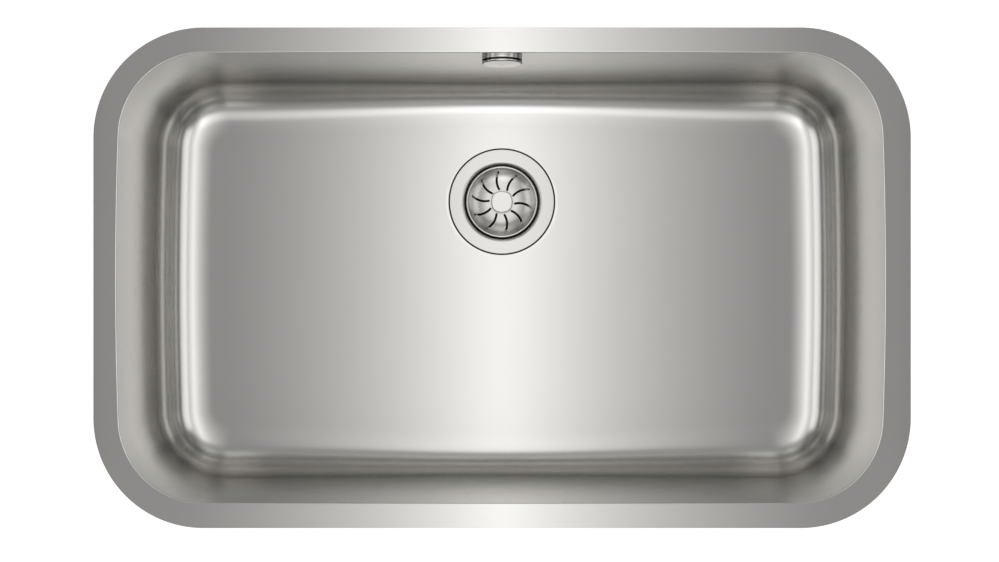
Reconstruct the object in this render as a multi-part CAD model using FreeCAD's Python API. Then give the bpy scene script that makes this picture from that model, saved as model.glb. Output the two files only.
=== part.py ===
"""Undermount kitchen sink, deep-drawn from one steel sheet, with its basket waste and its overflow.

The bowl hangs under a worktop by its flat flange. The origin is the centre of the flange, on its
top face: +X runs along the sink, +Y towards the overflow at the back and +Z up. Sizes are in
millimetres.

The waste stack sits in a recess of the bowl's floor. A steel cup drops through the floor's hole and one
screw pulls a plastic body up against the floor from below, with a seal on each side of the
sheet. A basket strainer stands in the cup: it lifts out by its knob and turns on a sleeve that
plugs into the hollow head of that screw. The overflow is a round cap that stands off a base ring
on the back wall, a plastic elbow behind the wall and a ribbed hose down to the waste body.
"""
import FreeCAD, Part

import math
import os

Vector = FreeCAD.Vector
UP = Vector(0, 0, 1)

# ---------------------------------------------------------------- driving dimensions, in mm
# bowl and flange
sheet = 1.0                    # steel sheet of the bowl
flange_length = 787.0
flange_width = 482.0
flange_corner_r = 106.0
side_border = 23.5             # flange beyond the opening, at the middle of each bowed short side
long_border = 24.0             # the same at the long sides
corner_border = 24.5           # the flange's corner radius less the opening's
short_side_bow = 2.4           # how far each short side swells outwards
long_side_bow = 0.5
bowl_shift_x = -1.5            # the bowl is drawn a little left of the flange's centre
bowl_depth = 200.0             # from the flange's top face to the floor
wall_draft = 4.2               # degrees from upright
floor_fillet_r = 52.0          # between wall and floor, inside, at the short sides and corners
floor_fillet_middle_r = 40.0   # the same at the middle of the long sides
floor_fall = 0.35              # degrees, all round towards the waste
rim_bend_r = 1.6               # between flange and wall, inside

# sound-deadening pad under the floor
pad_side_margin = 90.0         # from each short side of the opening to the pad
pad_front_margin = 78.5        # from the opening's front side to the pad
pad_thickness = 3.0
pad_margin_height = 10.0       # extra height, which the floor's own curve cuts away
pad_corner_r = 12.0
pad_to_body = 14.0             # free floor between the pad and the waste body

# waste cup, pressed from thicker sheet
waste_to_back = 134.0          # from the waste's axis to the opening's back side
cup_sheet = 1.2
cup_flange_r = 55.2
cup_lip_r = 3.4                # the lip's bend, outside
cup_mouth_r = 40.1             # inner wall just under the lip
cup_foot_r = 38.4              # inner wall at the cup's floor, before its bend
cup_depth = 40.0
cup_foot_bend_r = 8.0
drain_hole_r = 4.4
drain_hole_circle_r = 19.5
drain_hole_count = 8
recess_gap = 1.2               # round the cup's flange, in the recess of the floor
seal_play = 0.3                # round the flange's seal, in the recess
recess_edge_r = 0.8
floor_hole_r = 45.0
flange_seal_thickness = 1.0
flange_seal_width = 9.0        # so that its dark edge shows in the gap round the flange
body_seal_thickness = 3.0
body_seal_width = 10.0

# waste body
body_rim_r = 57.5
body_rim_height = 6.0
body_rim_edge_r = 0.8
body_rim_taper = 2.0           # height of the slope from rim to wall
body_wall_r = 54.0
body_wall = 3.0
body_shoulder_r = 8.0          # between chamber and funnel, outside
body_neck_r = 3.0              # at the funnel's foot, outside
body_chamber_depth = 46.0      # from its rim to where the funnel starts
body_funnel_height = 20.0
outlet_r = 23.9                # G 1 1/2 thread, major radius
outlet_bore_r = 19.5
outlet_collar = 4.0            # the funnel's foot, beyond the thread
outlet_length = 26.0
boss_r = 9.5
boss_gap = 2.5                 # between the cup's floor and the boss
rib_thickness = 3.0
rib_drop = 4.0                 # the ribs' top, below the boss's
rib_count = 4
inlet_drop = 31.0              # the hose inlet's axis, below the bowl's floor
inlet_thread_r = 17.0
inlet_reach = 80.0             # from the waste's axis to the inlet's mouth
inlet_socket_depth = 18.0
inlet_wall_clearance = 30.0    # from the boss to where the inlet's bore starts

# centre screw and its insert
screw_r = 3.0
screw_head_r = 6.5
screw_collar_r = 8.0
screw_collar_height = 1.5
screw_head_height = 10.0
screw_slot_width = 2.0
screw_slot_depth = 1.6
screw_edge_r = 0.6
screw_collar_edge_r = 0.4
socket_r = 4.6
socket_depth = 8.0
insert_r = 5.2
insert_length = 9.0
thread_clearance = 0.05

# basket strainer
basket_sheet = 0.8
basket_r = 38.2
basket_rim_drop = 2.5          # its rim, below the bowl's floor
basket_bead_r = 1.3            # half the height of the rolled rim
basket_flat_r = 14.0           # its level middle
basket_dish_r = 34.0           # radius of the dished part, inside
slot_count = 10
slot_width = 2.4
slot_inner_r = 14.2
slot_outer_r = 31.7
slot_lean = 5.0                # degrees, how far the outer end leans back
slot_bulge = 2.0               # degrees, how far the middle leans forward
slot_start = 30.0              # degrees, the first slot's inner end
knob_width = 22.8
knob_corner_r = 6.6
knob_bow = 0.7
knob_head_height = 6.0
knob_edge_r = 1.3
knob_neck_r = 6.2
knob_neck_bend_r = 2.0
knob_foot_height = 0.8
knob_foot_r = 9.0
knob_drop = 1.2                # the knob's top, below the bowl's floor

# stem, stopper and detent sleeve
stem_r = 3.0
stem_tip_r = 2.5
stem_head_r = 3.4
stem_head_height = 1.0
stopper_neck_r = 8.0           # its long neck, up to the basket
stopper_neck_height = 9.2
stopper_hub_height = 3.0       # the bell's own thickness round the stem
stopper_gap = 0.3              # under its lip
stopper_lip_r = 29.0
stopper_lip_height = 2.5
stopper_lip_width = 2.6
stopper_shoulder_r = 2.0
stopper_hollow_r = 1.0         # how far the bell's hollow starts beyond the washer, and its bend
washer_r = 9.0
washer_thickness = 1.0
nut_flats = 10.0
nut_height = 3.2
sleeve_length = 5.8
sleeve_clearance = 0.12        # in the screw's socket
sleeve_play = 0.05             # round the stem's tip
sleeve_end_play = 0.1
detent_ring_wire_r = 0.55

# overflow
overflow_drop = 26.5           # its axis, below the flange's top face
overflow_hole_r = 16.5
cap_r = 19.7
cap_sheet = 0.8
cap_height = 7.0               # its face, off the wall
cap_dome = 0.6
cap_edge_r = 1.9
base_height = 2.9              # the base ring, off the wall
base_bore_r = 14.0
base_plate = 0.8               # its plate, under the ring
base_ring_wall = 2.2
base_edge_r = 0.5
base_collar_gap = 0.7          # round its collar, in the wall's hole
base_boss_wall = 0.75          # round each of the cap's legs
base_reach = 1.6               # how deep the base ring's collar reaches into the wall's hole
base_arm_width = 3.0
base_arm_count = 3
base_hub_r = 6.5
base_hub_height = 2.4
water_gap = 1.5                # between base ring and cap
cap_leg_r = 1.2
cap_leg_depth = 2.0            # in the base ring
cap_screw_r = 2.5
cap_screw_head_r = 4.4
cap_screw_head_height = 2.2
cap_screw_length = 23.0
cap_screw_head_edge_r = 1.4
cap_screw_tip_r = 0.6
cap_screw_recess = 1.3         # depth of the head's cross recess
cap_screw_recess_span = 4.8
cap_screw_recess_width = 1.2
overflow_seal_thickness = 2.0
overflow_seal_width = 5.5
elbow_flange_r = 23.5
elbow_flange_thickness = 3.0
elbow_r = 20.0
elbow_wall = 2.5
elbow_depth = 22.5             # from the seal to the elbow's back
elbow_flange_edge_r = 1.0
elbow_root_r = 1.5
elbow_back_r = 5.0
elbow_boss_r = 5.5
elbow_insert_r = 3.6
elbow_insert_length = 8.0
spigot_r = 10.0
spigot_wall = 2.0
spigot_axis_depth = 11.8       # its axis, behind the seal
spigot_reach = 48.0            # from the overflow's axis to the spigot's end

# overflow hose and its joints
hose_bore_r = 9.6
hose_valley_r = 10.8
hose_crest_r = 12.5
cuff_r = 12.0
cuff_gap = 1.5                 # between the elbow's flange and the hose's cuff, and beyond each cuff's joint
rib_pitch = 4.0
rib_profile = (                # one rib: radius at shares of the pitch
    (0.05, hose_valley_r), (0.35, hose_valley_r), (0.5, hose_crest_r), (0.85, hose_crest_r),
)
hose_bore_steps = 48
hose_straight = 10.9889        # from the inlet's mouth to the start of the hose's bend
hose_fit = 0.05                # between cuff and spigot
clamp_wall = 1.2
clamp_width = 7.0
clamp_ear_height = 7.0
clamp_gap = 2.2                # between its ears
clamp_screw_r = 1.6
clamp_screw_reach = 2.4        # of its end beyond the far ear
clamp_screw_head_r = 2.7
clamp_screw_head = 2.1         # height of its head
clamp_screw_slot = 0.8
inlet_nut_wall = 3.0
inlet_nut_length = 20.0
inlet_nut_cap = 3.0
inlet_nut_rib_count = 16
inlet_nut_rib_height = 1.6
inlet_nut_rib_width = 3.0
inlet_nut_play = 0.6           # between the nut's cap and the hose's cuff
inlet_nut_cap_r = 2.0
inlet_nut_edge_r = 0.6
cone_seal_length = 6.0
cone_seal_land = 2.0           # its straight part, at the inlet's mouth
cone_seal_tip = 1.6            # its width at the nut's cap
past = 1.0                     # how far a cutter runs beyond the face that it opens

# ---------------------------------------------------------------- levels that follow from them
opening_length = flange_length - 2 * side_border              # across the middle of the bowed sides
opening_width = flange_width - 2 * long_border
opening_corner_r = flange_corner_r - corner_border
waste_y = opening_width / 2 - waste_to_back
pad_length = opening_length - 2 * pad_side_margin
pad_back_y = waste_y - body_rim_r - pad_to_body
pad_width = pad_back_y + opening_width / 2 - pad_front_margin
draft = math.radians(wall_draft)
floor_z = -bowl_depth
flange_under_z = -cup_sheet                                   # waste levels count from the floor
recess_z = flange_under_z - flange_seal_thickness
recess_under_z = recess_z - sheet
body_top_z = recess_under_z - body_seal_thickness
cup_floor_z = -cup_depth
cup_under_z = cup_floor_z - cup_sheet
recess_r = cup_flange_r + recess_gap
boss_top_z = cup_under_z - boss_gap
funnel_top_z = body_top_z - body_chamber_depth
funnel_foot_z = funnel_top_z - body_funnel_height
outlet_end_z = funnel_foot_z - outlet_length
screw_head_top_z = cup_floor_z + screw_head_height
socket_floor_z = screw_head_top_z - socket_depth
bead_centre_z = -basket_rim_drop - basket_bead_r
dish_reach = basket_r - 1.5 * basket_bead_r - basket_flat_r   # the dish ends inside the rolled rim
dish_slope = math.asin(dish_reach / basket_dish_r)
basket_centre_z = bead_centre_z - basket_dish_r * (1 - math.cos(dish_slope))
basket_seat_z = basket_centre_z - basket_sheet
bell_top_z = basket_seat_z - stopper_neck_height
hub_under_z = bell_top_z - stopper_hub_height
stopper_foot_z = cup_floor_z + stopper_gap
stem_top_z = -knob_drop - knob_head_height / 2
nut_top_z = hub_under_z - washer_thickness
nut_under_z = nut_top_z - nut_height
sleeve_under_z = socket_floor_z + stem_head_height + 4 * sleeve_end_play
sleeve_top_z = sleeve_under_z + sleeve_length
detent_ring_r = socket_r - sleeve_clearance / 2 - detent_ring_wire_r


# ---------------------------------------------------------------- drawing helpers
def circle_crossing(centre_a, radius_a, centre_b, radius_b):
    """Where two circles cross, on the side away from the origin."""
    span = centre_b - centre_a
    distance = span.Length
    along = (distance**2 + radius_a**2 - radius_b**2) / (2 * distance)
    aside = math.sqrt(radius_a**2 - along**2)
    unit = span / distance
    normal = Vector(-unit.y, unit.x, 0)
    crossings = [centre_a + unit * along + normal * (side * aside) for side in (1, -1)]
    return max(crossings, key=lambda point: point.x + point.y)


def arc_edge(start, middle, end):
    return Part.Arc(start, middle, end).toShape()


def bowed_outline(length, width, corner_r, short_bow, long_bow, inset=0.0):
    """A rounded rectangle whose sides swell outwards, all in arcs that run into each other.

    Each short side is one arc of large radius, each long side two halves of one, and each corner
    an arc that is tangent to its two sides. An inset draws every arc about the same centre with
    that much less radius, so that outlines at different insets stay parallel.
    """
    half_x = length / 2
    half_y = width / 2
    short_half = half_y - corner_r
    long_half = half_x - corner_r
    short_r = (short_half**2 + short_bow**2) / (2 * short_bow)
    long_r = (long_half**2 + long_bow**2) / (2 * long_bow)
    short_centre = Vector(half_x - short_r, 0, 0)
    long_centre = Vector(0, half_y - long_r, 0)
    corner = circle_crossing(short_centre, short_r - corner_r, long_centre, long_r - corner_r)
    to_short = (corner - short_centre).normalize()
    to_long = (corner - long_centre).normalize()
    on_short = short_centre + to_short * (short_r - inset)
    on_long = long_centre + to_long * (long_r - inset)
    on_corner = corner + (to_short + to_long).normalize() * (corner_r - inset)
    long_middle = Vector(0, half_y - inset, 0)
    on_half = long_centre + (on_long + long_middle - long_centre * 2).normalize() * (long_r - inset)

    def mirrored(point, sign_x, sign_y):
        return Vector(sign_x * point.x, sign_y * point.y, 0)

    edges = []
    for sign in (1, -1):
        before, after = [mirrored(on_short, sign, side * sign) for side in (-1, 1)]
        edges.append(arc_edge(before, Vector(sign * (half_x - inset), 0, 0), after))
        edges.append(arc_edge(after, mirrored(on_corner, sign, sign), mirrored(on_long, sign, sign)))
        middle = mirrored(long_middle, 1, sign)
        edges.append(arc_edge(mirrored(on_long, sign, sign), mirrored(on_half, sign, sign), middle))
        edges.append(arc_edge(middle, mirrored(on_half, -sign, sign), mirrored(on_long, -sign, sign)))
        last = mirrored(on_short, -sign, sign)
        edges.append(arc_edge(mirrored(on_long, -sign, sign), mirrored(on_corner, -sign, sign), last))
    return Part.Wire(edges)


def rounded_rectangle(length, width, corner_r):
    """A rectangle with straight sides and round corners, centred on the origin."""
    half_x = length / 2 - corner_r
    half_y = width / 2 - corner_r
    edges = []
    centres = ((half_x, half_y), (-half_x, half_y), (-half_x, -half_y), (half_x, -half_y))
    for quarter, (x, y) in enumerate(centres):
        angles = [math.radians(90 * quarter + step) for step in (0, 45, 90)]
        points = [Vector(x + corner_r * math.cos(a), y + corner_r * math.sin(a), 0) for a in angles]
        if edges:
            edges.append(Part.makeLine(edges[-1].Vertexes[-1].Point, points[0]))
        edges.append(arc_edge(*points))
    edges.append(Part.makeLine(edges[-1].Vertexes[-1].Point, edges[0].Vertexes[0].Point))
    return Part.Wire(edges)


def profile_wire(corners):
    """A closed wire in the XZ plane. Each corner is (x, z, radius), and a radius rounds it."""
    points = [Vector(x, 0, z) for x, z, _ in corners]
    edges = []
    last = None
    first = None
    for i, (_, _, radius) in enumerate(corners):
        here = points[i]
        back = (points[i - 1] - here).normalize()
        ahead = (points[(i + 1) % len(points)] - here).normalize()
        opening = back.getAngle(ahead)
        if radius > 0 and abs(opening - math.pi) > 1e-6:
            reach = radius / math.tan(opening / 2)
            start = here + back * reach
            end = here + ahead * reach
            bisector = (back + ahead).normalize()
            middle = here + bisector * (radius / math.sin(opening / 2) - radius)
            arc = arc_edge(start, middle, end)
        else:
            start = here
            end = here
            arc = None
        if last is None:
            first = start
        elif (start - last).Length > 1e-6:
            edges.append(Part.makeLine(last, start))
        if arc is not None:
            edges.append(arc)
        last = end
    if (first - last).Length > 1e-6:
        edges.append(Part.makeLine(last, first))
    return Part.Wire(edges)


def turned(corners):
    """The solid that a closed profile in the XZ plane sweeps round the Z axis."""
    return Part.Face(profile_wire(corners)).revolve(Vector(0, 0, 0), UP, 360)


def pressed_profile(corners, thickness):
    """The closed profile of a pressed sheet: a line of (x, z, radius) corners and its offset.

    The sheet lies on the right-hand side of the line as it runs. A bend keeps its centre, so the
    radius on the other side of the sheet is larger or smaller by the thickness.
    """
    points = [Vector(x, 0, z) for x, z, _ in corners]
    headings = [(points[i + 1] - points[i]).normalize() for i in range(len(points) - 1)]
    sides = [Vector(heading.z, 0, -heading.x) for heading in headings]
    offset = []
    for i, (_, _, radius) in enumerate(corners):
        if i == 0 or i == len(points) - 1:
            side = sides[0] if i == 0 else sides[-1]
            shifted = points[i] + side * thickness
            offset.append((shifted.x, shifted.z, 0))
            continue
        mean = (sides[i - 1] + sides[i]).normalize()
        shifted = points[i] + mean * (thickness / mean.dot(sides[i]))
        turns_right = headings[i].dot(sides[i - 1]) > 0
        other_radius = radius - thickness if turns_right else radius + thickness
        offset.append((shifted.x, shifted.z, max(other_radius, 0) if radius > 0 else 0))
    return list(corners) + offset[::-1]


def ring(outer_r, inner_r, top_z, under_z):
    """A flat ring about the Z axis."""
    return turned([(inner_r, top_z, 0), (outer_r, top_z, 0), (outer_r, under_z, 0), (inner_r, under_z, 0)])


def cylinder(radius, start, axis, length):
    return Part.makeCylinder(radius, length, start, axis)


def round_pattern(shape, count, centre=Vector(0, 0, 0)):
    """Copies of a shape, evenly spaced round the Z axis."""
    copies = []
    for i in range(count):
        copy = shape.copy()
        copy.rotate(centre, UP, 360.0 * i / count)
        copies.append(copy)
    return copies


def swirl_slot(inner_r, outer_r, lean, bulge, width, start_angle, low_z, high_z):
    """The cutter of one curved slot: an arc of the given width with round ends, standing along Z."""
    middle_r = (inner_r + outer_r) / 2
    places = ((inner_r, start_angle), (middle_r, start_angle + bulge), (outer_r, start_angle - lean))
    inner, middle, outer = [
        Vector(r * math.cos(math.radians(a)), r * math.sin(math.radians(a)), 0) for r, a in places
    ]
    circle = arc_edge(inner, middle, outer).Curve
    centre = circle.Center
    edges = []
    rails = []
    for side in (-1, 1):
        scale = 1 + side * width / 2 / circle.Radius
        rails.append([centre + (point - centre) * scale for point in (inner, middle, outer)])
    along_in = (inner - centre).cross(UP).normalize()
    if along_in.dot(inner - middle) < 0:
        along_in = -along_in
    along_out = (outer - centre).cross(UP).normalize()
    if along_out.dot(outer - middle) < 0:
        along_out = -along_out
    edges.append(arc_edge(*rails[0]))
    edges.append(arc_edge(rails[0][2], outer + along_out * (width / 2), rails[1][2]))
    edges.append(arc_edge(*rails[1][::-1]))
    edges.append(arc_edge(rails[1][0], inner + along_in * (width / 2), rails[0][0]))
    face = Part.Face(Part.Wire(edges))
    face.translate(Vector(0, 0, low_z))
    return face.extrude(Vector(0, 0, high_z - low_z))


def hexagon_prism(flats, low_z, high_z):
    corner_r = flats / math.sqrt(3)
    points = [Vector(corner_r * math.cos(math.pi * i / 3), corner_r * math.sin(math.pi * i / 3), low_z)
              for i in range(7)]
    return Part.Face(Part.makePolygon(points)).extrude(Vector(0, 0, high_z - low_z))


def at_waste(shape):
    """Moves a shape from the waste's own frame, where z = 0 is the bowl's floor, into place."""
    shape.translate(Vector(0, waste_y, floor_z))
    return shape


def wall_inset(z):
    """How far the drafted wall has come in at a height, measured level."""
    return -z * math.tan(draft)


overflow_point = Vector(0, opening_width / 2 - wall_inset(-overflow_drop), -overflow_drop)
wall_up = Vector(0, math.sin(draft), math.cos(draft))
wall_in = Vector(0, -math.cos(draft), math.sin(draft))
wall_frame = FreeCAD.Placement(overflow_point, FreeCAD.Rotation(Vector(1, 0, 0), wall_up, wall_in, "XYZ"))


def on_wall(shape):
    """Moves a shape from the overflow's own frame into place.

    There, z = 0 is the back wall's inner face, +Z points into the bowl and +Y up the wall.
    """
    shape.Placement = wall_frame.multiply(shape.Placement)
    return shape


def edges_at(shape, z, tolerance=1e-4):
    """The edges of a shape that lie wholly at one height."""
    boxes = [(edge, edge.BoundBox) for edge in shape.Edges]
    return [edge for edge, box in boxes if max(abs(box.ZMin - z), abs(box.ZMax - z)) < tolerance]


def round_the_opening(edge):
    """Whether an edge of the flange's top face belongs to the opening, and not to the outer outline."""
    box = edge.BoundBox
    half_length = (opening_length + sheet) / 2 + abs(bowl_shift_x)
    half_width = (opening_width + sheet) / 2
    return max(-box.XMin, box.XMax) < half_length and max(-box.YMin, box.YMax) < half_width


# ---------------------------------------------------------------- bowl
def bowl_outline(inset, z):
    wire = bowed_outline(opening_length, opening_width, opening_corner_r, short_side_bow, long_side_bow,
                         inset)
    wire.translate(Vector(bowl_shift_x, 0, z))
    return wire


def floor_cone(foot_z):
    """The wedge-shaped body that gives the floor its fall: a cone about the waste, and all below it."""
    reach = opening_length
    rise = (reach - recess_r) * math.tan(math.radians(floor_fall))
    cone = turned([
        (recess_r, foot_z, 0),
        (reach, foot_z + rise, 0),
        (reach, foot_z - 1, 0),
        (recess_r, foot_z - 1, 0),
    ])
    cone.translate(Vector(0, waste_y, 0))
    return cone


def fillet_radius(point):
    """The inside floor fillet's radius: full from the corners on, least where a long side has its middle."""
    at_middle = abs(point.x - bowl_shift_x) < 1 and abs(point.y) > opening_width / 4
    return floor_fillet_middle_r if at_middle else floor_fillet_r


def bowl_volume(growth, top_z):
    """The drafted, round-footed volume inside the bowl, grown outwards by the sheet's thickness or not."""
    level_growth = growth / math.cos(draft)
    foot_z = floor_z - growth
    top = bowl_outline(wall_inset(top_z) - level_growth, top_z)
    foot = bowl_outline(wall_inset(foot_z) - level_growth, foot_z)
    document = FreeCAD.newDocument("volume")
    block = document.addObject("Part::Feature", "block")
    block.Shape = Part.makeLoft([top, foot], True, True).cut(floor_cone(foot_z))
    radii = []
    for number, edge in enumerate(block.Shape.Edges, 1):
        ends = [edge.valueAt(edge.FirstParameter), edge.valueAt(edge.LastParameter)]
        low = edge.BoundBox.ZMax < foot_z + floor_fillet_middle_r / 2
        if low and all(math.hypot(end.x, end.y - waste_y) > recess_r + 1 for end in ends):
            radii.append((number, fillet_radius(ends[0]) + growth, fillet_radius(ends[1]) + growth))
    rounded = document.addObject("Part::Fillet", "rounded")
    rounded.Base = block
    rounded.Edges = radii
    document.recompute()
    volume = rounded.Shape.copy()
    FreeCAD.closeDocument(document.Name)
    return volume


def make_bowl():
    """One sheet: flange, drafted walls, big floor fillet, waste recess and overflow hole."""
    flange = Part.Face(rounded_rectangle(flange_length, flange_width, flange_corner_r))
    flange = flange.extrude(Vector(0, 0, -sheet))
    bowl = flange.fuse(bowl_volume(sheet, -sheet)).cut(bowl_volume(0.0, 0.0))
    bowl = bowl.makeFillet(rim_bend_r, [e for e in edges_at(bowl, 0.0) if round_the_opening(e)])

    axis_foot = Vector(0, waste_y, floor_z + 2 * recess_under_z)
    recess_foot = Vector(0, waste_y, floor_z + recess_under_z)
    bowl = bowl.fuse(cylinder(recess_r + sheet, recess_foot, UP, -recess_under_z - sheet / 2))
    bowl = bowl.cut(cylinder(recess_r, Vector(0, waste_y, floor_z + recess_z), UP, sheet - recess_z))
    bowl = bowl.cut(cylinder(floor_hole_r, axis_foot, UP, -4 * recess_under_z))
    mouth = [e for e in edges_at(bowl, floor_z) if abs(e.BoundBox.XLength - 2 * recess_r) < 1e-3]
    bowl = bowl.makeFillet(recess_edge_r, mouth)
    return bowl.cut(on_wall(cylinder(overflow_hole_r, Vector(0, 0, -3 * sheet), UP, 6 * sheet)))


def make_sound_pad():
    """Rubber pad glued under the floor, in front of the waste body."""
    height = pad_thickness + pad_margin_height
    pad = Part.Face(rounded_rectangle(pad_length, pad_width, pad_corner_r)).extrude(Vector(0, 0, height))
    pad.translate(Vector(bowl_shift_x, pad_back_y - pad_width / 2, floor_z - sheet - pad_thickness))
    return pad.cut(bowl_volume(sheet, -sheet))


# ---------------------------------------------------------------- waste, fixed pieces
def make_waste_cup():
    """Steel cup with a wide flange, a rolled lip, a drain grid and a hole for the centre screw."""
    line = [
        (cup_flange_r, 0, 0),
        (cup_mouth_r, 0, cup_lip_r),
        (cup_foot_r, cup_floor_z, cup_foot_bend_r),
        (screw_r + thread_clearance, cup_floor_z, 0),
    ]
    # run from the axis outwards so that the sheet lies outside the cup
    cup = turned(pressed_profile(line[::-1], cup_sheet))
    hole = cylinder(drain_hole_r, Vector(drain_hole_circle_r, 0, cup_under_z - cup_sheet), UP, 3 * cup_sheet)
    return at_waste(cup.cut(Part.makeCompound(round_pattern(hole, drain_hole_count))))


def make_flange_seal():
    outer = recess_r - seal_play
    return at_waste(ring(outer, outer - flange_seal_width, flange_under_z, recess_z))


def make_body_seal():
    outer = body_rim_r - sheet
    return at_waste(ring(outer, outer - body_seal_width, recess_under_z, body_top_z))


def make_waste_body():
    """Moulded pot: rim, chamber, funnel and threaded outlet, with a screw boss on ribs and a hose inlet."""
    chamber_r = body_wall_r - body_wall
    rim_bore_r = body_rim_r - sheet - body_seal_width
    outside = turned([
        (0, body_top_z, 0),
        (body_rim_r, body_top_z, body_rim_edge_r),
        (body_rim_r, body_top_z - body_rim_height, body_rim_edge_r),
        (body_wall_r, body_top_z - body_rim_height - body_rim_taper, 0),
        (body_wall_r, funnel_top_z, body_shoulder_r),
        (outlet_r + outlet_collar, funnel_foot_z + outlet_collar / 2, body_neck_r),
        (outlet_r, funnel_foot_z, 0),
        (outlet_r, outlet_end_z, body_rim_edge_r),
        (0, outlet_end_z, 0),
    ])
    cavity = turned([
        (0, body_top_z + past, 0),
        (rim_bore_r, body_top_z + past, 0),
        (rim_bore_r, body_top_z - body_rim_height / 2, 0),
        (chamber_r, body_top_z - body_rim_height, 0),
        (chamber_r, funnel_top_z, body_shoulder_r - body_rim_taper),
        (outlet_bore_r, funnel_foot_z, outlet_collar),
        (outlet_bore_r, outlet_end_z - past, 0),
        (0, outlet_end_z - past, 0),
    ])
    inlet = cylinder(inlet_thread_r, Vector(0, 0, -inlet_drop), Vector(0, 1, 0), inlet_reach)
    rib_height = boss_top_z - funnel_foot_z
    boss = cylinder(boss_r, Vector(0, 0, funnel_foot_z), UP, rib_height)
    rib = Part.makeBox(chamber_r + body_wall / 2, rib_thickness, rib_height - rib_drop)
    rib.translate(Vector(0, -rib_thickness / 2, funnel_foot_z))
    rib.rotate(Vector(0, 0, 0), UP, 180 / rib_count)
    web = boss.fuse(round_pattern(rib, rib_count)).common(outside)
    body = outside.fuse(inlet).cut(cavity).fuse(web)
    bore_start = Vector(0, boss_r + inlet_wall_clearance, -inlet_drop)
    body = body.cut(cylinder(hose_bore_r, bore_start, Vector(0, 1, 0), inlet_reach))
    socket_start = Vector(0, inlet_reach - inlet_socket_depth, -inlet_drop)
    body = body.cut(cylinder(cuff_r + hose_fit, socket_start, Vector(0, 1, 0), inlet_socket_depth + past))
    screw_hole_start = Vector(0, 0, funnel_foot_z - past)
    body = body.cut(cylinder(screw_r + thread_clearance, screw_hole_start, UP, rib_height + 2 * past))
    pocket = cylinder(insert_r, Vector(0, 0, funnel_foot_z), UP, insert_length)
    return at_waste(body.cut(pocket).removeSplitter())


def make_insert_nut():
    """Brass insert, moulded into the foot of the boss."""
    return at_waste(ring(insert_r, screw_r + thread_clearance, funnel_foot_z + insert_length, funnel_foot_z))


def make_centre_screw():
    """The screw that holds the waste together. Its tall hollow head is the basket's socket."""
    screw = turned([
        (0, screw_head_top_z, 0),
        (screw_head_r, screw_head_top_z, screw_edge_r),
        (screw_head_r, cup_floor_z + screw_collar_height, 0),
        (screw_collar_r, cup_floor_z + screw_collar_height, screw_collar_edge_r),
        (screw_collar_r, cup_floor_z, 0),
        (screw_r, cup_floor_z, 0),
        (screw_r, funnel_foot_z, screw_edge_r),
        (0, funnel_foot_z, 0),
    ])
    screw = screw.cut(cylinder(socket_r, Vector(0, 0, socket_floor_z), UP, socket_depth + past))
    slot = Part.makeBox(4 * screw_head_r, screw_slot_width, screw_slot_depth + past,
                        Vector(-2 * screw_head_r, -screw_slot_width / 2, screw_head_top_z - screw_slot_depth))
    return at_waste(screw.cut(slot))


# ---------------------------------------------------------------- basket strainer, the lifting pieces
def make_basket():
    """Dished steel basket with a rolled rim and ten curved slots.

    Its middle is level. From there one arc rises to the rim, where it has the dish's full slope.
    """
    centre_z = basket_centre_z + basket_dish_r
    faces = []
    for reach in (basket_dish_r, basket_dish_r + basket_sheet):
        slopes = [dish_slope * share for share in (0, 0.5, 1)]
        faces.append([Vector(basket_flat_r + reach * math.sin(a), 0, centre_z - reach * math.cos(a))
                      for a in slopes])
    upper, lower = faces
    bore_r = stem_r + thread_clearance
    inner_top = Vector(bore_r, 0, upper[0].z)
    inner_foot = Vector(bore_r, 0, lower[0].z)
    outline = Part.Wire([
        Part.makeLine(inner_top, upper[0]),
        arc_edge(*upper),
        Part.makeLine(upper[2], lower[2]),
        arc_edge(*lower[::-1]),
        Part.makeLine(lower[0], inner_foot),
        Part.makeLine(inner_foot, inner_top),
    ])
    dish = Part.Face(outline).revolve(Vector(0, 0, 0), UP, 360)
    bead = Part.makeTorus(basket_r - basket_bead_r, basket_bead_r, Vector(0, 0, bead_centre_z), UP)
    basket = dish.fuse(bead)
    slot = swirl_slot(slot_inner_r, slot_outer_r, slot_lean, slot_bulge, slot_width, slot_start,
                      basket_centre_z - basket_r / 2, bead_centre_z + basket_r / 2)
    return at_waste(basket.cut(Part.makeCompound(round_pattern(slot, slot_count))))


def make_knob():
    """Finger knob: a soft square head on a waisted neck."""
    head_top_z = -knob_drop
    head = Part.Face(bowed_outline(knob_width, knob_width, knob_corner_r, knob_bow, knob_bow))
    head = head.extrude(Vector(0, 0, -knob_head_height))
    head.translate(Vector(0, 0, head_top_z))
    head_under_z = head_top_z - knob_head_height
    head = head.makeFillet(knob_edge_r, edges_at(head, head_top_z) + edges_at(head, head_under_z))
    neck = turned([
        (0, stem_top_z, 0),
        (knob_neck_r, stem_top_z, 0),
        (knob_neck_r, basket_centre_z + knob_foot_height, knob_neck_bend_r),
        (knob_foot_r, basket_centre_z, 0),
        (0, basket_centre_z, 0),
    ])
    stem_hole = cylinder(stem_r + thread_clearance, Vector(0, 0, basket_centre_z - past), UP,
                         stem_top_z + thread_clearance - basket_centre_z + past)
    return at_waste(head.fuse(neck).cut(stem_hole))


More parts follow.
